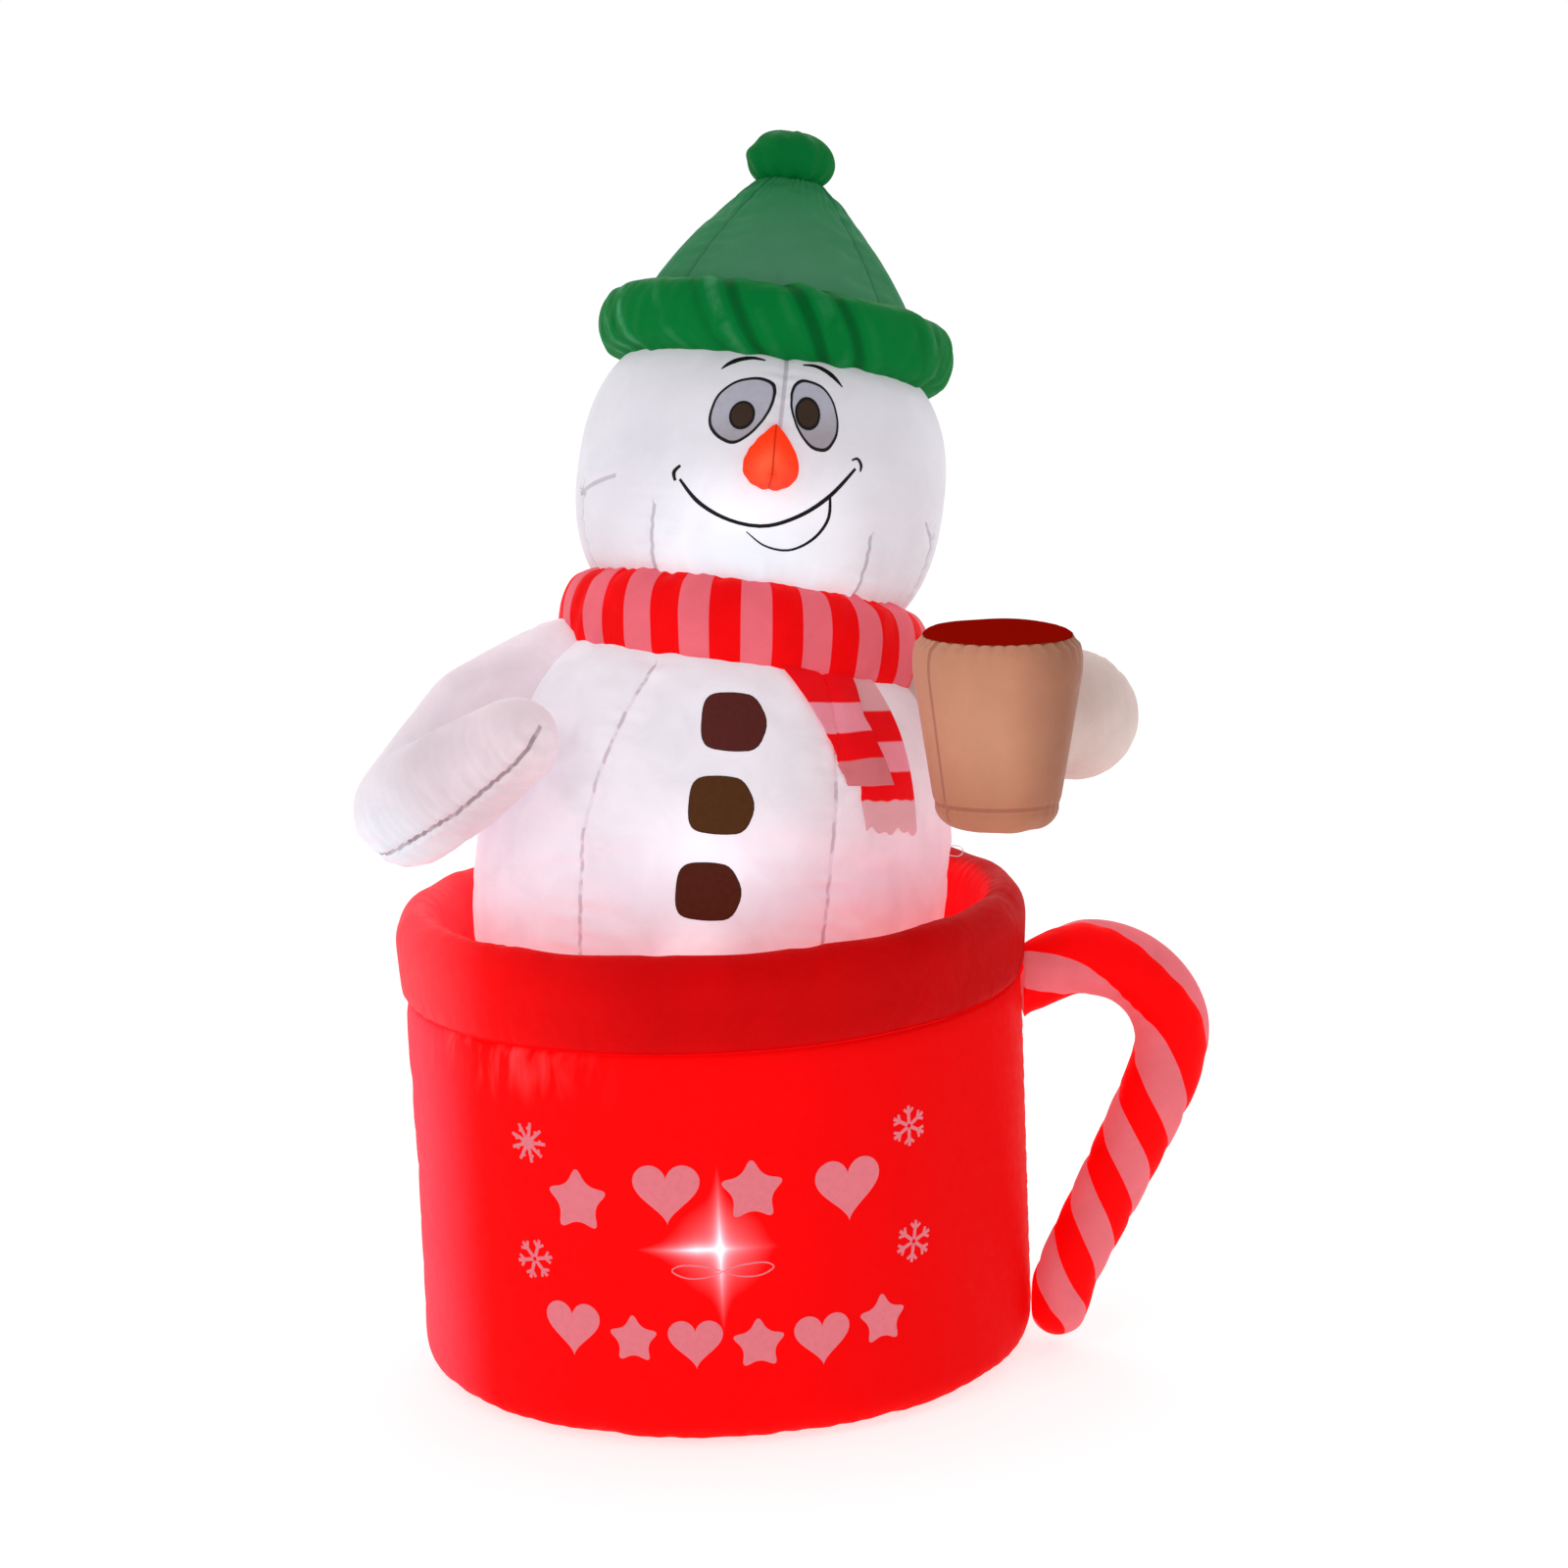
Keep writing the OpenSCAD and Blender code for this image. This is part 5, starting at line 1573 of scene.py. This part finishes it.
TAIL_RED, TAIL_PINK, TAIL_DUSTY = srgb(218, 12, 20), srgb(216, 130, 146), srgb(192, 106, 112)
TAIL_PALE = srgb(206, 148, 154)
tails = {
    "scarf_tail_front": (30, [(-78, 12), (-46, -58), (-2, -146)], [(34, 12), (30, -48), (74, -140)], 7.0, 4.0, 0,
                         [(0, TAIL_RED), (0.31, TAIL_PINK), (0.55, TAIL_RED), (0.79, TAIL_DUSTY)], 0.04),
    "scarf_tail_back": (43, [(-66, 12), (-58, -160), (-48, -206)], [(8, 12), (26, -60), (52, -204)], 3.5, 1.5, 7,
                        [(0, TAIL_PALE), (0.25, TAIL_RED), (0.44, TAIL_PINK), (0.63, TAIL_RED), (0.81, TAIL_PALE)],
                        0.02),
}
for node, (angle, left, right, lift, wave, ragged, stops, slant) in tails.items():
    piece, width, length, area = tail_piece(f"{node}_cloth", angle, left, right, lift, wave, ragged)
    material = matte(f"{node}_fabric", band_colour(stops, slant), 0.38, crinkle=0.3)
    place(piece, material, "striped_fabric", node, body="scarf_tails")
    print("TAIL", node, round(width), round(length), round(area))

# ================= Blower panel, webbing, label, zipper tape =================

BLOWER = (np.array([0, MUG_R, BLOWER_Z]), np.array([[1.0, 0, 0], [0, 0, -1.0], [0, 1.0, 0]]))


def blower_panel():
    p = resample([(62.8, 2.6), (90, 2.9), (94, 2.2), (95.4, -2), (95.6, -13)], 3.0)[::-1]
    obj = turned("blower_panel_fabric", p, 110, BLOWER)
    relief(obj, BLOWER, lambda a, z, r: 0.5 * turns(a, 141, 6, 24, 60) * bump(r - 88, 10) * (z > 0))
    thicken(obj, 1.6)
    return obj


place(blower_panel(), matte("panel_fabric", plain(srgb(214, 6, 8)), 0.3), "red_fabric", "blower_panel", fill=0.3)


def webbing_material(name, tone):
    s = Shader(name)
    x, y, z = s.xyz(s.object_space)
    rib = s.math("SINE", s.times(s.plus(z, s.plus(x, y)), TAU / (2.4 * MM)))
    fine = s.noise(300.0, 2.0)
    colour = s.mix(s.span(rib, -1, 1, 0.0, 0.35), tone, dimmed(tone, 0.6))
    colour = s.mix(s.span(fine, 0.4, 0.7, 0.0, 0.25), colour, dimmed(tone, 0.8))
    s.bumped((rib, 0.5, 0.3), (fine, 0.2, 0.1))
    s.lit(colour, 0.12)
    return s.finish(colour, s.span(fine, 0.3, 0.7, 0.7, 0.9), 0.2, sheen=0.2)


web_white = webbing_material("webbing_white", srgb(232, 214, 220))
web_red = webbing_material("webbing_red", srgb(196, 10, 14))


def ribbons(name, runs, material, slot, node, thick=1.0):
    """Flat ribbons as one piece; each run is (path, direction of the width, width)."""
    grids = [np.array(path, float)[:, None, :] + (np.linspace(-0.5, 0.5, 5) * width)[None, :, None] * unit(across)
             for path, across, width in runs]
    obj = joined_piece(name, grids)
    thicken(obj, thick, 0)
    place(obj, material, slot, node)


def taut(p, q, n=24):
    t = np.linspace(0, 1, n)[:, None]
    return np.array(p, float) * (1 - t) + np.array(q, float) * t


STRAP_DROP = 26.7
runs = [(taut((x0, y, z - STRAP_DROP), (x1, y, z - STRAP_DROP)), (0, 1, 0), 12)
        for (x0, x1), (_, y, z) in zip(((-337, 325), (-336.5, 356.5), (-160, 359)), LAMPS[1:])]
x, y, z = LAMPS[0]
runs.append((taut((x, -444, z - STRAP_DROP), (x, y + 8, z - STRAP_DROP)), (1, 0, 0), 12))
ribbons("lamp_strap_webbing", runs, web_white, "webbing", "lamp_straps")
runs = []
for a in (45, 135, 225, 315):
    w = math.radians(a)
    radial, side = np.array([math.cos(w), math.sin(w), 0]), (-math.sin(w), math.cos(w), 0)
    path = [radial * (351 + 3 * math.sin(t * 9 + a)) + np.array([0, 0, 4 + t * (DECK_Z - 10)])
            for t in np.linspace(0, 1, 40)]
    runs.append((path, side, 29))
ribbons("deck_strap_webbing", runs, web_red, "webbing", "deck_straps", 1.4)

# Tether loops: folded webbing sewn on the body's sides.
TETHER_Z = 250
runs = []
for side in (-1, 1):
    root = float(body_radius(TETHER_Z)) + 1
    w = np.linspace(-math.pi / 2, math.pi / 2, 20)
    loop = [(side * (root + 13 + 9.5 * math.cos(x)), 0, TETHER_Z + 8.0 * math.sin(x)) for x in w]
    loop = [(side * root, 0, TETHER_Z - 7)] + loop + [(side * root, 0, TETHER_Z + 7)]
    runs.append((to_world(BODY, spline(np.array(loop, float), 3)), BODY[1][1], 9))
ribbons("tether_loop_webbing", runs, web_white, "webbing", "tether_loops")


STAKE_R, EYE_R = 484, 8.2


def stake_tabs():
    """Webbing tabs on the ground, each with a round hole for its grommet."""
    grids = []
    w = np.linspace(0, TAU, 48, endpoint=False)
    for a in (118, 205, 242):
        t = math.radians(a)
        out, side = np.array([math.sin(t), -math.cos(t), 0]), np.array([math.cos(t), math.sin(t), 0])
        rows = []
        for share in np.linspace(0, 1, 7):
            row = []
            for x in w:
                c, s = math.cos(x), math.sin(x)
                far = 14.5 if c >= 0 else min(14.5 / max(abs(s), 1e-6), 58 / max(-c, 1e-6))
                d = EYE_R + (far - EYE_R) * share
                lift = 1.5 + 0.4 * math.sin(d / 6)
                row.append(out * (STAKE_R + d * c) + side * d * s + np.array([0, 0, lift]))
            rows.append(row)
        grids.append(np.array(rows)[::-1])
    obj = joined_piece("stake_tab_webbing", grids, True)
    thicken(obj, 1.8, 0)
    return obj


place(stake_tabs(), web_red, "webbing", "stake_loops")


def label_piece():
    a0 = math.radians(168)
    rows = []
    for t in np.linspace(0, 1, 20):
        row = []
        for u in np.linspace(-19, 19, 12):
            out = MUG_R + 8.2 + 1.2 * math.sin(t * 3) * t
            a = a0 + u / MUG_R
            row.append((out * math.sin(a), -out * math.cos(a), 461 - 60 * t))
        rows.append(row)
    obj = grid_piece("care_label_cloth", np.array(rows)[::-1], False)
    thicken(obj, 0.6)
    return obj


label_mat = fabric("label_cloth", plain(srgb(236, 234, 230)), 0.1, 0.2)
label = place(label_piece(), label_mat, "label_fabric", "care_label")

zip_a = math.radians(ZIP_ANGLE)
ZIP = (np.array([MUG_R * math.sin(zip_a), -MUG_R * math.cos(zip_a), ZIP_LOW]),
       np.array([[math.cos(zip_a), math.sin(zip_a), 0], [-math.sin(zip_a), math.cos(zip_a), 0], [0, 0, 1.0]]))
runs = []
for side in (-1, 1):
    path = to_world(ZIP, [(side * 7.8, -0.9 + 0.08 * math.sin(z / 7), z) for z in np.linspace(0.5, 299.5, 70)])
    runs.append((path, ZIP[1][0], 13.6))
ribbons("zipper_tape_woven", runs, webbing_material("zipper_tape_weave", srgb(150, 6, 12)), "zipper_fabric",
        "zipper_tape", 0.9)

# ================= CAD pieces that stay, with moulded, metal and nylon finishes =================

for names, material in (
        ("intake_grille motor_spider outlet_guard dc_inlet light_socket blower_nut",
         hard("black_plastic", srgb(30, 31, 34), 0.42)),
        ("blower_housing", hard("housing_plastic", srgb(38, 42, 46), 0.5, grain=80.0, bump_strength=0.25)),
        ("blower_gasket", hard("black_rubber", srgb(22, 22, 24), 0.75, grain=90.0, bump_strength=0.3, specular=0.3)),
        ("impeller lamp_holders", hard("white_plastic", srgb(228, 228, 224), 0.38)),
        ("grille_screws impeller_shaft", hard("steel", srgb(190, 192, 196), 0.28, 1.0, 40.0, 0.1, streak=(1, 1, 0.08))),
        ("motor", hard("motor_steel", srgb(150, 152, 156), 0.36, 1.0, 30.0, 0.15, streak=(1, 0.08, 1))),
        ("stake_grommets", hard("brass", srgb(212, 168, 84), 0.3, 1.0, 50.0, 0.12)),
        ("zipper_stops zipper_slider zipper_pull", hard("zip_metal", srgb(176, 178, 184), 0.3, 1.0, 80.0, 0.12)),
        ("zipper_coil", hard("zip_nylon", srgb(40, 36, 40), 0.45, grain=100.0, bump_strength=0.5,
                             streak=(0.1, 0.1, 3.0))),
        ("light_cable", hard("cable_sleeve", srgb(18, 70, 40), 0.5)),
        ("lamp_boards", hard("led_board", srgb(206, 196, 150))),
        ("lamp_lenses", hard("lamp_lens", srgb(250, 244, 226), 0.2, glow=1.5))):
    for name in names.split():
        give(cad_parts[name], material)

# ================= Stage, light =================


def make_floor():
    mesh = bpy.data.meshes.new("floor")
    k = 60.0
    mesh.from_pydata([(-k, -k, 0), (k, -k, 0), (k, k, 0), (-k, k, 0)], [], [(0, 1, 2, 3)])
    obj = bpy.data.objects.new("floor", mesh)
    bpy.context.scene.collection.objects.link(obj)
    s = Shader("floor_white")
    grain = s.noise(2.0, 3.0)
    s.bumped((s.noise(90.0, 2.0), 0.05, 0.5))
    s.lit((1, 1, 1, 1), 0.68)
    give(obj, s.finish(s.mix(grain, grey(0.48), grey(0.52)), 0.9, 0.05))


make_floor()
world = bpy.data.worlds.new("studio")
bpy.context.scene.world = world
world.use_nodes = True
nodes, links = world.node_tree.nodes, world.node_tree.links
sky, part, brighter = nodes["Background"], nodes.new("ShaderNodeSeparateXYZ"), nodes.new("ShaderNodeMath")
brighter.operation = "MAXIMUM"
links.new(nodes.new("ShaderNodeTexCoord").outputs["Generated"], part.inputs[0])
# Brighter behind the snowman than in front of it, with a white band around the horizon like a studio's backdrop.
for k, (axis, limits) in enumerate(((1, (-0.6, 0.3, 0.28, 1.0)), (2, (0.24, 0.12, 0.0, 1.0)))):
    ramp = nodes.new("ShaderNodeMapRange")
    for i, v in enumerate(limits):
        ramp.inputs[i + 1].default_value = v
    links.new(part.outputs[axis], ramp.inputs[0])
    links.new(ramp.outputs[0], brighter.inputs[k])
links.new(brighter.outputs[0], sky.inputs[1])
sky.inputs[0].default_value = grey(1)


def area_light(name, place_at, aim, size, power):
    light = bpy.data.objects.new(name, bpy.data.lights.new(name, "AREA"))
    light.data.size = size
    light.data.energy = power
    light.location = place_at
    light.rotation_mode = "QUATERNION"
    light.rotation_quaternion = (Vector(aim) - Vector(place_at)).to_track_quat("-Z", "Y")
    bpy.context.scene.collection.objects.link(light)


area_light("key", (-2.8, -3.2, 3.6), (0, 0, 0.9), 2.0, 44)
area_light("fill", (3.6, -3.0, 2.2), (0, 0, 0.8), 3.0, 10)
area_light("back", (0.5, 3.6, 3.4), (0, 0, 1.0), 3.0, 30)
bpy.context.scene.view_settings.view_transform = "Standard"
bpy.context.scene.view_settings.look = "None"
